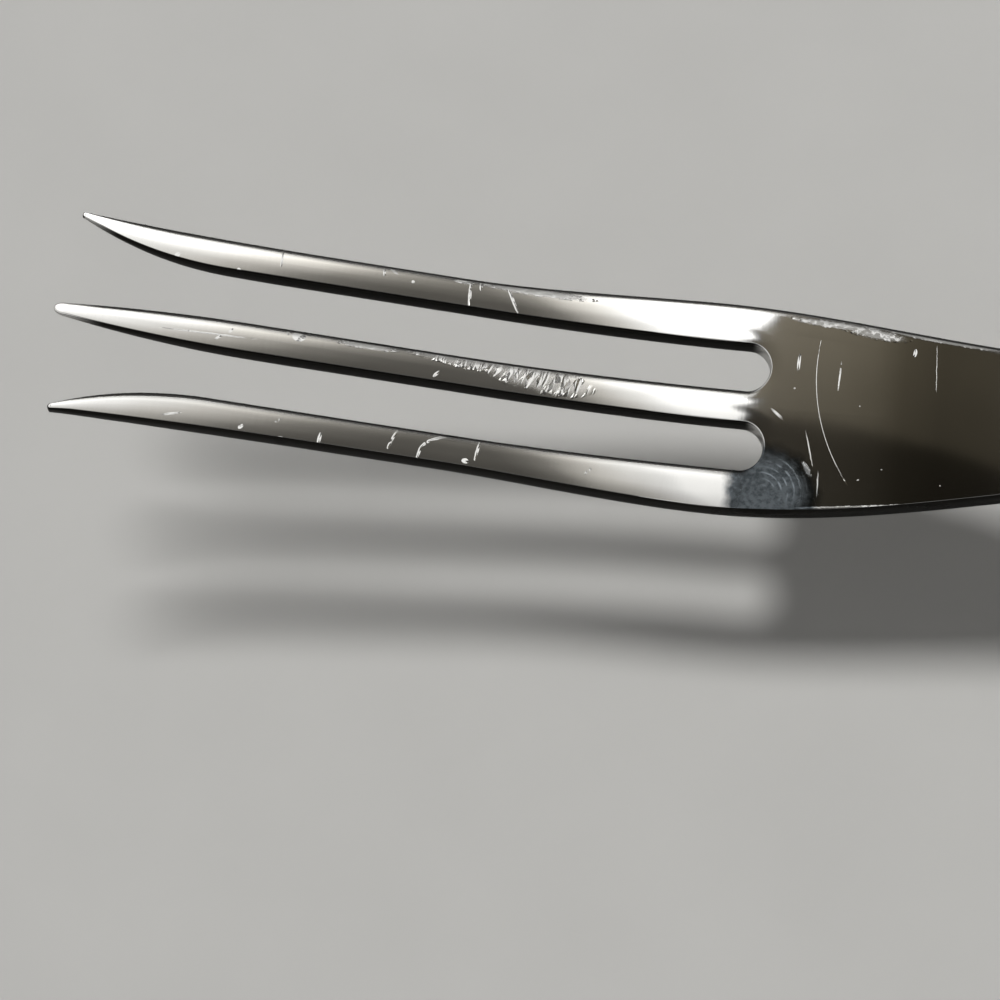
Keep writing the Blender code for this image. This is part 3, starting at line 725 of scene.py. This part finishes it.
def polishedStainless():
    # hand-polished stainless sheet: clear reflections that waver a little, painted shade on the blanked
    # edges, nicks and scratches that catch the light, and one dull bluish place
    f = steelFinish
    material, add = newMaterial("polished_stainless")
    spot = add("TexCoord", output="Object")

    def oval(station, side, length, width, turn=0.0, vector=None):
        # 1 in the middle of an oval place on the hollow side, falling evenly to 0 at its rim
        turn = math.radians(turn)
        slope = float(sideProfile(np.array(float(station)))[2])
        mapped = add("Mapping", {
            "Vector": vector or spot, "Location": faceSpot(station, side),
            "Rotation": (0, -slope * math.cos(turn), turn),
            "Scale": (length / 2 * mm, width / 2 * mm, f["markReach"] * mm)}, vector_type="TEXTURE")
        return add("TexGradient", {"Vector": mapped}, "Fac", gradient_type="SPHERICAL")

    def pushed(size, reach):
        # the place moved about at random, so that outlines are uneven
        cloud = add("TexNoise", {"Vector": spot, "Scale": 1 / (size * mm)}, "Color")
        centred = add("VectorMath", {0: cloud, 1: (0.5, 0.5, 0.5)}, operation="SUBTRACT")
        return add("VectorMath", {0: centred, 1: (reach * mm, reach * mm, reach * mm), 2: spot},
                   operation="MULTIPLY_ADD")

    def crowded(places, vector):
        # 1 over most of the given ovals, 0 outside them
        most = 0.0
        for where in places:
            most = add("Math", {0: oval(*where, vector), 1: most}, operation="MAXIMUM")
        return add("Math", {0: most, 1: f["crowdGain"]}, operation="MULTIPLY", use_clamp=True)

    # single marks: cones of one steepness that come and go
    ragged = pushed(f["raggedSize"], f["raggedReach"])
    wander = pushed(f["patchRough"], f["patchDrift"])
    height = 0.0
    for mark in marks:
        depth = -f["markSlope"] * mark[3] / 2 * mm
        height = add("Math", {0: oval(*mark, ragged), 1: depth, 2: height}, operation="MULTIPLY_ADD")
    cloud = add("TexNoise", {"Vector": spot, "Scale": 1 / (f["unevenSize"] * mm)}, "Fac")
    uneven = add("MapRange", {0: cloud, 1: f["unevenBand"][0], 2: f["unevenBand"][1]})
    height = add("Math", {0: height, 1: uneven}, operation="MULTIPLY")

    # long curved scratch: a groove along a circle, faded out at its ends
    flat = add("VectorMath", {0: spot, 1: (1, 1, 0)}, operation="MULTIPLY")
    turnX, turnY, _ = faceSpot(*f["scratchTurn"])
    pivot = (turnX + f["scratchRadius"] * mm, turnY, 0)
    radius = add("VectorMath", {0: flat, 1: pivot}, "Value", operation="DISTANCE")
    away = add("Math", {0: radius, 1: f["scratchRadius"] * mm}, operation="SUBTRACT")
    away = add("Math", {0: away}, operation="ABSOLUTE")
    groove = add("MapRange", {0: away, 1: 0, 2: f["scratchWidth"] / 2 * mm, 3: 1, 4: 0})
    ends = oval(*f["scratchMiddle"], f["scratchLength"], f["scratchLength"])
    ends = add("Math", {0: ends, 1: f["scratchGain"]}, operation="MULTIPLY", use_clamp=True)
    groove = add("Math", {0: groove, 1: ends}, operation="MULTIPLY")
    depth = -f["markSlope"] * f["scratchWidth"] / 2 * mm
    height = add("Math", {0: groove, 1: depth, 2: height}, operation="MULTIPLY_ADD")

    # crowded nicks: long cells across the tine, some of them raised like small roofs
    scuffed, chipped = crowded(scuffs, wander), crowded(chips, ragged)
    for field, kind in ((scuffed, "scuff"), (chipped, "chip")):
        length, width = f[kind + "Length"] * mm, f[kind + "Width"] * mm
        cells = add("Mapping", {
            "Vector": ragged, "Rotation": (0, 0, math.radians(f["nickTurn"])),
            "Scale": (width, length, length)}, vector_type="TEXTURE")
        rim = add("TexVoronoi", {"Vector": cells, "Scale": 1.0}, "Distance", feature="DISTANCE_TO_EDGE")
        chance = add("TexVoronoi", {"Vector": cells, "Scale": 1.0}, "Color")
        share, soft = f[kind + "Share"], f["shareSoft"]
        picked = add("MapRange", {0: chance, 1: share - soft, 2: share + soft})
        roof = add("Math", {0: rim, 1: f["markSlope"] * width}, operation="MULTIPLY")
        roof = add("Math", {0: roof, 1: picked}, operation="MULTIPLY")
        height = add("Math", {0: roof, 1: field, 2: height}, operation="MULTIPLY_ADD")

    # slow waver of the polish, and the buffing wheel's fine lines
    cloud = add("TexNoise", {"Vector": spot, "Scale": 1 / (f["waveLength"] * mm), "Detail": 1.0}, "Fac")
    height = add("Math", {0: cloud, 1: f["waveDepth"] * mm, 2: height}, operation="MULTIPLY_ADD")
    lines = add("Mapping", {
        "Vector": spot, "Scale": (f["buffWidth"] * mm, f["buffLength"] * mm, f["buffLength"] * mm)},
        vector_type="TEXTURE")
    cloud = add("TexNoise", {"Vector": lines, "Scale": 1.0}, "Fac")
    height = add("Math", {0: cloud, 1: f["buffDepth"] * mm, 2: height}, operation="MULTIPLY_ADD")
    bump = add("Bump", {"Height": height, "Distance": 1.0, "Strength": 1.0})

    # dull place with arcs round its middle
    patch = oval(*f["patchMiddle"], f["patchSize"], f["patchSize"], 0.0, wander)
    patch = add("Math", {0: patch, 1: 1 / f["patchFringe"]}, operation="MULTIPLY", use_clamp=True)
    first, full = (faceSpot(station, 0)[0] for station in f["patchCut"])
    cut = add("MapRange", {0: add("SeparateXYZ", {0: wander}, "X"), 1: first, 2: full})
    patch = add("Math", {0: patch, 1: cut}, operation="MULTIPLY")
    radius = add("VectorMath", {0: ragged, 1: faceSpot(*f["arcMiddle"])}, "Value", operation="DISTANCE")
    arcs = add("Math", {0: radius, 1: 2 * math.pi / (f["arcGap"] * mm)}, operation="MULTIPLY")
    arcs = add("Math", {0: arcs}, operation="SINE")
    cloud = add("TexNoise", {"Vector": spot, "Scale": 1 / (f["arcBreak"] * mm)}, "Fac")
    broken = add("MapRange", {0: cloud, 1: f["arcBand"][0], 2: f["arcBand"][1], 4: f["arcGain"]})
    arcs = add("MapRange", {0: arcs, 1: f["arcFrom"]})
    arcs = add("Math", {0: arcs, 1: broken}, operation="MULTIPLY")
    shown = oval(*f["arcPlace"], f["arcSpread"], f["arcSpread"])
    arcs = add("Math", {0: arcs, 1: shown}, operation="MULTIPLY")
    cloud = add("TexNoise", {"Vector": spot, "Scale": 1 / (f["speckSize"] * mm), "Detail": 3.0}, "Fac")
    specks = add("MapRange", {0: cloud, 1: f["speckBand"][0], 2: f["speckBand"][1]})
    dull = add("Mix", {0: specks, 6: srgb(f["patchDeep"]), 7: srgb(f["patch"])}, 2, data_type="RGBA")
    dull = add("Mix", {0: arcs, 6: dull, 7: srgb(f["patchArc"])}, 2, data_type="RGBA")

    # colour and roughness: smudges, the dull place, the nicks and the painted shade on the edges over the
    # bare polish
    wall = add("Attribute", output="Fac", attribute_name="wall")
    cloud = add("TexNoise", {"Vector": spot, "Scale": 1 / (f["smudgeSize"] * mm), "Detail": 3.0}, "Fac")
    handled = add("MapRange", {0: cloud, 1: f["smudgeBand"][0], 2: f["smudgeBand"][1]})
    tone = add("Mix", {0: handled, 6: srgb(f["face"]), 7: srgb(f["smudge"])}, 2, data_type="RGBA")
    stained = add("Math", {0: patch, 1: f["stainGain"]}, operation="MULTIPLY", use_clamp=True)
    tone = add("Mix", {0: stained, 6: tone, 7: dull}, 2, data_type="RGBA")
    # painted shade: the edges take the dark edge colour wherever the blade mesh marks them
    tone = add("Mix", {0: wall, 6: tone, 7: srgb(f["edge"])}, 2, data_type="RGBA")
    worn = add("Math", {0: patch, 1: f["patchPower"]}, operation="POWER")
    rough = f["roughness"]
    for kind, share in dict(smudge=handled, patch=worn, scuff=scuffed, chip=chipped, edge=wall).items():
        rough = add("Math", {0: share, 1: f[kind + "Roughness"], 2: rough}, operation="MULTIPLY_ADD")
    shader = add("BsdfPrincipled", {
        "Base Color": tone, "Metallic": 1.0, "Roughness": rough, "Normal": bump,
        "Specular Tint": srgb(f["grazing"])})
    add("OutputMaterial", {"Surface": shader})
    return material


woodFinish = dict(
    dark="#25110b",
    middle="#4a2415",
    light="#6f3d25",
    pore="#170a06",
    darkAt=0.18,                # places of the three tones in the figure
    middleAt=0.48,
    lightAt=0.82,
    ringGap=2.6,                # growth rings
    ringShare=0.55,             # the rest of the figure is streaks
    pith=(0.0, -15.0, -26.0),   # the log's heart, from the handle's middle
    streakLength=46.0,
    streakWidth=2.0,
    poreLength=3.2,
    poreWidth=0.28,             # about twice the real width, so that pores show in the render
    poreBand=(0.34, 0.16),      # rim and floor of a pore, as shares of its cell
    poreDepth=0.05,
    poreDull=0.25,
    streakDepth=0.03,
    wander=5.0,                 # how far the rings stray, and over what length and width
    wanderLength=60.0,
    wanderWidth=9.0,
    logTurn=(0.0, 2.0, 3.0),    # the handle is not cut quite along the log, in degrees
    wornLength=24.0,            # places polished by the hand
    wornWidth=14.0,
    wornBand=(0.3, 0.7),
    glossy=0.34,
    dull=0.5,
)


def oiledRosewood():
    # sawn and sanded rosewood rubbed with oil: dark growth lines, long streaks, open pores, low sheen
    f = woodFinish
    material, add = newMaterial("oiled_rosewood")
    spot = add("TexCoord", output="Object")
    heart = np.array(place(np.array(handleStart + handle["length"] / 2), 0, 0)) + np.array(f["pith"]) * mm
    log = add("Mapping", {
        "Vector": spot, "Location": tuple(heart.tolist()),
        "Rotation": tuple(math.radians(turn) for turn in f["logTurn"])}, vector_type="TEXTURE")

    def alongGrain(length, width):
        # the place measured in steps of this length along the log and this width across it
        return add("VectorMath", {
            0: log, 1: (1 / (length * mm), 1 / (width * mm), 1 / (width * mm))}, operation="MULTIPLY")

    streak = add("TexNoise", {
        "Vector": alongGrain(f["streakLength"], f["streakWidth"]), "Scale": 1.0, "Detail": 4.0}, "Fac")
    wander = add("TexNoise", {
        "Vector": alongGrain(f["wanderLength"], f["wanderWidth"]), "Scale": 1.0}, "Color")
    bent = add("VectorMath", {0: wander, 1: (0, f["wander"] * mm, f["wander"] * mm), 2: log},
               operation="MULTIPLY_ADD")
    nodeTurn = 20       # radians that a wave node of scale 1 turns in a metre
    rings = add("TexWave", {
        "Vector": bent, "Scale": 2 * math.pi / (nodeTurn * f["ringGap"] * mm), "Distortion": 0.8,
        "Detail": 2.0, "Detail Scale": 1.5},
        "Fac", wave_type="RINGS", rings_direction="X", wave_profile="SAW")
    figure = add("Mix", {0: f["ringShare"], 2: streak, 3: rings})
    ramp = add("ValToRGB", {0: figure})
    stops = ramp.node.color_ramp.elements
    stops[0].position, stops[0].color = f["darkAt"], srgb(f["dark"])
    stops[1].position, stops[1].color = f["lightAt"], srgb(f["light"])
    stops.new(f["middleAt"]).color = srgb(f["middle"])
    cells = add("TexVoronoi", {
        "Vector": alongGrain(f["poreLength"], f["poreWidth"]), "Scale": 1.0}, "Distance")
    pore = add("MapRange", {0: cells, 1: f["poreBand"][0], 2: f["poreBand"][1]})
    tone = add("Mix", {0: pore, 6: ramp, 7: srgb(f["pore"])}, 2, data_type="RGBA")
    worn = add("TexNoise", {"Vector": alongGrain(f["wornLength"], f["wornWidth"]), "Scale": 1.0}, "Fac")
    rough = add("MapRange", {
        0: worn, 1: f["wornBand"][0], 2: f["wornBand"][1], 3: f["glossy"], 4: f["dull"]})
    rough = add("Math", {0: pore, 1: f["poreDull"], 2: rough}, operation="MULTIPLY_ADD")
    relief = add("Math", {0: pore, 1: -f["poreDepth"] * mm}, operation="MULTIPLY")
    relief = add("Math", {0: streak, 1: f["streakDepth"] * mm, 2: relief}, operation="MULTIPLY_ADD")
    bump = add("Bump", {"Height": relief, "Distance": 1.0, "Strength": 1.0})
    shader = add("BsdfPrincipled", {"Base Color": tone, "Roughness": rough, "Normal": bump})
    add("OutputMaterial", {"Surface": shader})
    return material


brassFinish = dict(
    bright="#d8b067",
    tarnish="#8d6a33",
    lineGap=0.22,               # turned rings, drawn coarser than real so that they show
    lineDepth=0.0035,
    rimStart=2.9,               # tarnish gathers from here to the rim,
    rimTarnish=0.7,
    cloudSize=1.6,              # and in clouds
    cloudTarnish=0.5,
    roughness=0.2,
    dullRoughness=0.25,
    scratchLength=3.0,
    scratchWidth=0.15,
    scratchDepth=0.004,
)


def turnedBrass():
    # turned brass rivet heads filed flush: fine rings, small scratches, tarnish towards the rim
    f = brassFinish
    material, add = newMaterial("turned_brass")
    spot = add("TexCoord", output="Object")
    first = float(place(np.array(handleStart + frontRivet), 0, 0)[0])
    gap = (rearRivet - frontRivet) / 2 * mm
    # the rivets are evenly spaced, so wrapping x by the gap centres the rings on every one
    parts = add("SeparateXYZ", {0: spot}).node.outputs
    local = add("Math", {0: parts["X"], 1: first}, operation="SUBTRACT")
    local = add("Math", {0: local, 1: gap / 2, 2: -gap / 2}, operation="WRAP")
    flat = add("CombineXYZ", {"X": local, "Y": parts["Y"]})
    radius = add("VectorMath", {0: flat}, "Value", operation="LENGTH")
    line = add("Math", {0: radius, 1: 2 * math.pi / (f["lineGap"] * mm)}, operation="MULTIPLY")
    line = add("Math", {0: line}, operation="SINE")
    cloud = add("TexNoise", {"Vector": spot, "Scale": 1 / (f["cloudSize"] * mm), "Detail": 4.0}, "Fac")
    rim = add("MapRange", {
        0: radius, 1: f["rimStart"] * mm, 2: rivet["headDiameter"] / 2 * mm, 4: f["rimTarnish"]})
    dull = add("Math", {0: cloud, 1: f["cloudTarnish"], 2: rim}, operation="MULTIPLY_ADD", use_clamp=True)
    tone = add("Mix", {0: dull, 6: srgb(f["bright"]), 7: srgb(f["tarnish"])}, 2, data_type="RGBA")
    rough = add("Math", {0: dull, 1: f["dullRoughness"], 2: f["roughness"]}, operation="MULTIPLY_ADD")
    along = add("Mapping", {
        "Vector": spot, "Scale": (f["scratchLength"] * mm, f["scratchWidth"] * mm, 1.0)},
        vector_type="TEXTURE")
    fine = add("TexNoise", {"Vector": along, "Scale": 1.0, "Detail": 1.0}, "Fac")
    relief = add("Math", {0: line, 1: f["lineDepth"] * mm}, operation="MULTIPLY")
    relief = add("Math", {0: fine, 1: f["scratchDepth"] * mm, 2: relief}, operation="MULTIPLY_ADD")
    bump = add("Bump", {"Height": relief, "Distance": 1.0, "Strength": 1.0})
    shader = add("BsdfPrincipled", {
        "Base Color": tone, "Metallic": 1.0, "Roughness": rough, "Normal": bump})
    add("OutputMaterial", {"Surface": shader})
    return material


# pieces

steel, rosewood, brass = polishedStainless(), oiledRosewood(), turnedBrass()
holes = makeHoleCutters()
addPiece("forkBlade", drilled(bladeMesh(), holes), "fork_blade", steel)
for name, facing in (("upper", 1), ("lower", -1)):
    mesh = drilled(scaleMesh(name + "Scale", facing), holes)
    mesh.set_sharp_from_angle(angle=math.radians(handle["sharpAngle"]))
    addPiece(name + "Scale", mesh, name + "_scale", rosewood)
for cutter in holes:
    bpy.data.objects.remove(cutter)
tube, pin = rivet["tubeDiameter"] / 2, rivet["pinDiameter"] / 2
bore = pin + rivet["clearance"]
top = headSeat - rivet["clearance"]
pinEnd = rivet["pinEndGap"] - headSeat
tubeLine = [(tube, -headSeat), (tube, top), (bore, top), (bore, -headSeat), (0, -headSeat)]
pinLine = [(pin, headSeat), (pin, pinEnd), (0, pinEnd)]
for spot, along in rivetPlaces.items():
    for kind, line in (("tube", headProfile(-1) + tubeLine), ("pin", headProfile(1) + pinLine)):
        mesh = turnedMesh("rivet" + kind.title() + spot.title(), line, along)
        mesh.set_sharp_from_angle(angle=math.radians(rivet["sharpAngle"]))
        addPiece(mesh.name, mesh, "rivet_" + kind + "_" + spot, brass)
print("pieces made")


# camera at the photograph's angle

view = dict(
    tilt=0.3250,                # radians
    yaw=0.0982,
    roll=-0.1274,
    distance=269.0,
    lens=99.58,
    sensor=36.0,
    nearest=0.01,               # metres
    aimX=-24.796,               # from the slot bottoms
    aimY=-11.6025,
)


def makeCamera():
    # back runs from the aim to the camera; up and right turn about it by the roll
    v = view
    back = Vector((math.sin(v["yaw"]), -math.sin(v["tilt"]) * math.cos(v["yaw"]),
                   math.cos(v["tilt"]) * math.cos(v["yaw"])))
    up = (Vector((0, 1, 0)) - back * back.y).normalized()
    right = up.cross(back)
    turnedUp = math.cos(v["roll"]) * up + math.sin(v["roll"]) * right
    turnedRight = math.cos(v["roll"]) * right - math.sin(v["roll"]) * up
    aim = Vector((v["aimX"] - originX, v["aimY"], heelHeight)) * mm
    camera = addObject("camera", bpy.data.cameras.new("camera"))
    camera.data.lens = v["lens"]
    camera.data.sensor_width = v["sensor"]
    camera.data.clip_start = v["nearest"]
    turn = Matrix((turnedRight, turnedUp, back)).transposed().to_4x4()
    camera.matrix_world = Matrix.Translation(aim + back * v["distance"] * mm) @ turn
    bpy.context.scene.camera = camera


# studio: pale paper, a key lamp from above and behind, and cards overhead that only the metal sees

studio = dict(
    paperLight="#b7b6b3",
    paperDark="#b1b0ad",
    paperGrain=14.0,                # millimetres
    paperRoughness=0.9,
    paperShine=0.1,
    floorSize=3.0,                  # metres
    headDrop=17.0,                  # the paper lies this much lower under the head, which hangs free,
    climbFrom=26.0,                 # and climbs between these stations to carry the handle
    climbTo=62.0,
    climbSteps=25,
    worldLight=0.27,
    worldShown=0.44,                # the room as the camera sees it
    mirrorDark=0.06,                # the room as the metal sees it: dark overhead,
    mirrorPale=0.55,                # pale low down,
    mirrorTurn=(0.25, 0.8),         # with the change between these heights, as sines
    keyFrom=(-0.11, 0.36, 1.0),     # direction to the lamp
    keyDistance=5.0,
    keySize=1.15,
    keyWatts=206.0,
)


def addCard(name, slopes, height, strength, ramps):
    # a card overhead, placed by the slopes (x/z, y/z) at which the slot bottoms see its corners;
    # each ramp is (direction, stops of slope and colour), and the ramps are multiplied
    slotX = -originX * mm
    corners = [(slotX + x * height, y * height, height) for x, y in slopes]
    mesh = bpy.data.meshes.new(name)
    mesh.from_pydata(corners, [], [list(range(len(corners)))])
    card = addObject(name, mesh)
    material, add = newMaterial(name)
    spot = add("TexCoord", output="Object")
    tone = (1, 1, 1, 1)
    for direction, stops in ramps:
        along = add("VectorMath", {0: spot, 1: (*direction, 0)}, "Value", operation="DOT_PRODUCT")
        low, high = stops[0][0], stops[-1][0]
        offset = direction[0] * slotX
        share = add("MapRange", {0: along, 1: low * height + offset, 2: high * height + offset})
        ramp = add("ValToRGB", {0: share})
        bands = ramp.node.color_ramp.elements
        bands[0].color, bands[-1].color = stops[0][1], stops[-1][1]
        for slope, colour in stops[1:-1]:
            bands.new((slope - low) / (high - low)).color = colour
        tone = add("Mix", {0: 1.0, 6: tone, 7: ramp}, 2, data_type="RGBA", blend_type="MULTIPLY")
    glow = add("Emission", {"Color": tone, "Strength": strength})
    add("OutputMaterial", {"Surface": glow})
    mesh.materials.append(material)
    card.visible_camera = False
    card.visible_diffuse = False
    card.visible_shadow = False


def makeFloor():
    # a sheet of paper that is flat but for one S-shaped climb along x
    s = studio
    climb = np.linspace(0, 1, s["climbSteps"])
    x = (s["climbFrom"] + (s["climbTo"] - s["climbFrom"]) * climb - originX) * mm
    x = np.concatenate([[-s["floorSize"]], x, [s["floorSize"]]])
    z = smooth(-s["headDrop"], 0, np.concatenate([[0], climb, [1]])) * mm
    y = np.array([[-s["floorSize"]], [s["floorSize"]]])
    points = np.stack([x + 0 * y, y + 0 * x, z + 0 * y], -1).reshape(-1, 3)
    row = np.arange(len(x))
    mesh = bpy.data.meshes.new("floor")
    mesh.from_pydata(points.tolist(), [], quads(row, row + len(x)).tolist())
    mesh.shade_smooth()
    floor = addObject("floor", mesh)
    material, add = newMaterial("pale_paper")
    spot = add("TexCoord", output="Object")
    cloud = add("TexNoise", {"Vector": spot, "Scale": 1 / (s["paperGrain"] * mm), "Detail": 5.0}, "Fac")
    tone = add("Mix", {0: cloud, 6: srgb(s["paperDark"]), 7: srgb(s["paperLight"])}, 2, data_type="RGBA")
    shader = add("BsdfPrincipled", {
        "Base Color": tone, "Roughness": s["paperRoughness"], "Specular IOR Level": s["paperShine"]})
    add("OutputMaterial", {"Surface": shader})
    mesh.materials.append(material)


def makeLights():
    # one round lamp, and a room that the camera, the metal and the rest each see in their own tone
    s = studio
    lamp = bpy.data.lights.new("key", "AREA")
    lamp.shape = "DISK"
    lamp.size = s["keySize"]
    lamp.energy = s["keyWatts"]
    key = addObject("key", lamp)
    toward = Vector(s["keyFrom"]).normalized()
    key.location = toward * s["keyDistance"] + Vector((-originX * mm, 0, 0))
    key.rotation_euler = toward.to_track_quat("Z", "Y").to_euler()
    key.visible_glossy = False

    world = bpy.data.worlds.new("studio")
    bpy.context.scene.world = world
    world.use_nodes = True
    world.node_tree.nodes.clear()
    add = functools.partial(addNode, world.node_tree)
    path = add("LightPath").node.outputs
    toward = add("TexCoord", output="Generated")
    up = add("SeparateXYZ", {0: toward}, "Z")
    low, high = s["mirrorTurn"]
    seen = add("MapRange", {0: up, 1: low, 2: high, 3: s["mirrorPale"], 4: s["mirrorDark"]},
               interpolation_type="SMOOTHSTEP")
    mirror = add("Mix", {0: path["Is Glossy Ray"], 2: s["worldLight"], 3: seen})
    shown = add("Mix", {0: path["Is Camera Ray"], 2: mirror, 3: s["worldShown"]})
    background = add("Background", {"Color": (1, 1, 1, 1), "Strength": shown})
    add("OutputWorld", {"Surface": background})


nearEnd = 0.25      # slope across at which softbox and dim card end and the near wall begins
# a tone is a slope, the light's level there and, where it is warm, how warm
cards = dict(
    height=6.0,                     # metres, far enough for every part of the fork to see them alike
    warmGreen=0.35,                 # green that warm light loses, as a share of the blue
    x=(-0.31, 0.29),                # slopes along the fork between the white walls
    lean=0.7,                       # the softbox's tones slant by this much,
    leanFrom=0.39,                  # and are given along this slope across
    softbox=[(-0.35, 2.5), (0.08, 2.2), (0.091, 1.75), (0.111, 1.35, 0.03), (0.13, 1.0, 0.08),
             (0.15, 0.66, 0.1), (0.17, 0.32, 0.12), (0.19, 0.215, 0.13), (0.21, 0.16, 0.14),
             (0.6, 0.152, 0.14)],
    softboxAcross=[(nearEnd, 0.26), (0.3, 0.42), (0.33, 0.54), (0.35, 0.66), (0.372, 0.84),
                   (0.388, 0.85), (0.404, 1.25), (0.43, 1.8), (0.47, 2.3)],
    tipCorners=[(0.09, nearEnd), (0.29, nearEnd), (0.29, 0.47)],
    rootEdge=[(-0.003, 0.47), (0.0, 0.424), (0.017, 0.413), (0.004, 0.391), (0.022, 0.380),
              (0.011, 0.364), (0.012, 0.358), (0.015, 0.347), (0.016, nearEnd)],
    copies=(1.0, 0.42, 0.2, 0.1),   # strengths of the softbox and of the copies behind it,
    copyStep=0.0035,                # which reach further by this slope each,
    copyLift=0.1,                   # and hang this much higher, in metres
    dim=[(-0.31, 0.055, 0.38), (-0.21, 0.055, 0.38), (-0.165, 0.075, 0.38), (-0.13, 0.125, 0.34),
         (-0.09, 0.155, 0.32), (-0.02, 0.18, 0.3), (0.05, 0.17, 0.3), (0.09, 0.03), (0.29, 0.03)],
    dimAcross=[(nearEnd, 0.23), (0.3795, 0.26), (0.3825, 0.95), (0.40, 1.1), (0.42, 1.4), (0.62, 1.5)],
    dimLift=0.5,
    whiteButt=[(-1.6, 0.45), (-0.9, 1.4), (-0.31, 1.4)],
    whiteTips=[(0.29, 1.4), (0.9, 1.4), (1.6, 0.45)],
    whiteNear=[(-0.6, 0.45), (-0.35, 1.4), (0.0, 1.4), (0.16, 0.45), (nearEnd, 0.06)],
    whiteFar=[(0.78, 1.4), (1.1, 1.4), (1.5, 0.45)],
)


def grey(level, warm=0.0):
    # a level of light, with less blue and a little less green where it is warm
    return (level, level * (1 - cards["warmGreen"] * warm), level * (1 - warm), 1)


def coloured(tones):
    # the tones as slopes and colours
    return [(slope, grey(*light)) for slope, *light in tones]


def rectangle(x, y):
    # corners of a card from its slopes along and across
    return [(x[0], y[0]), (x[1], y[0]), (x[1], y[1]), (x[0], y[1])]


def makeCards():
    # softbox: white over the slot bottoms and the tips, falling to grey between, darkest over the middle
    # tine; its edge over the tine roots slants, and fainter copies behind it soften that edge
    c = cards
    height = c["height"]
    along = [(slope - c["leanFrom"] * c["lean"], colour) for slope, colour in coloured(c["softbox"])]
    ramps = [((1, -c["lean"]), along), ((0, 1), coloured(c["softboxAcross"]))]
    for copy, strength in enumerate(c["copies"]):
        outline = c["tipCorners"] + [(x - c["copyStep"] * copy, y) for x, y in c["rootEdge"]]
        addCard("softbox%d" % copy, outline, height + c["copyLift"] * copy, strength, ramps)
    # dim card behind it, over the shoulder, with a darker near half
    ramps = [((1, 0), coloured(c["dim"])), ((0, 1), coloured(c["dimAcross"]))]
    corners = rectangle(c["x"], (nearEnd, c["dimAcross"][-1][0]))
    addCard("dimCard", corners, height + c["dimLift"], 1.0, ramps)
    # white walls all round, which the level faces never mirror, so that the sides of nicks flash;
    # they dim outwards
    allAcross = c["whiteNear"][0][0], c["whiteFar"][-1][0]
    for name in ("whiteButt", "whiteTips"):
        corners = rectangle((c[name][0][0], c[name][-1][0]), allAcross)
        addCard(name, corners, height, 1.0, [((1, 0), coloured(c[name]))])
    for name in ("whiteNear", "whiteFar"):
        corners = rectangle(c["x"], (c[name][0][0], c[name][-1][0]))
        addCard(name, corners, height, 1.0, [((0, 1), coloured(c[name]))])


makeCamera()
makeFloor()
makeLights()
makeCards()
bpy.context.scene.view_settings.view_transform = "Standard"
print("studio made")
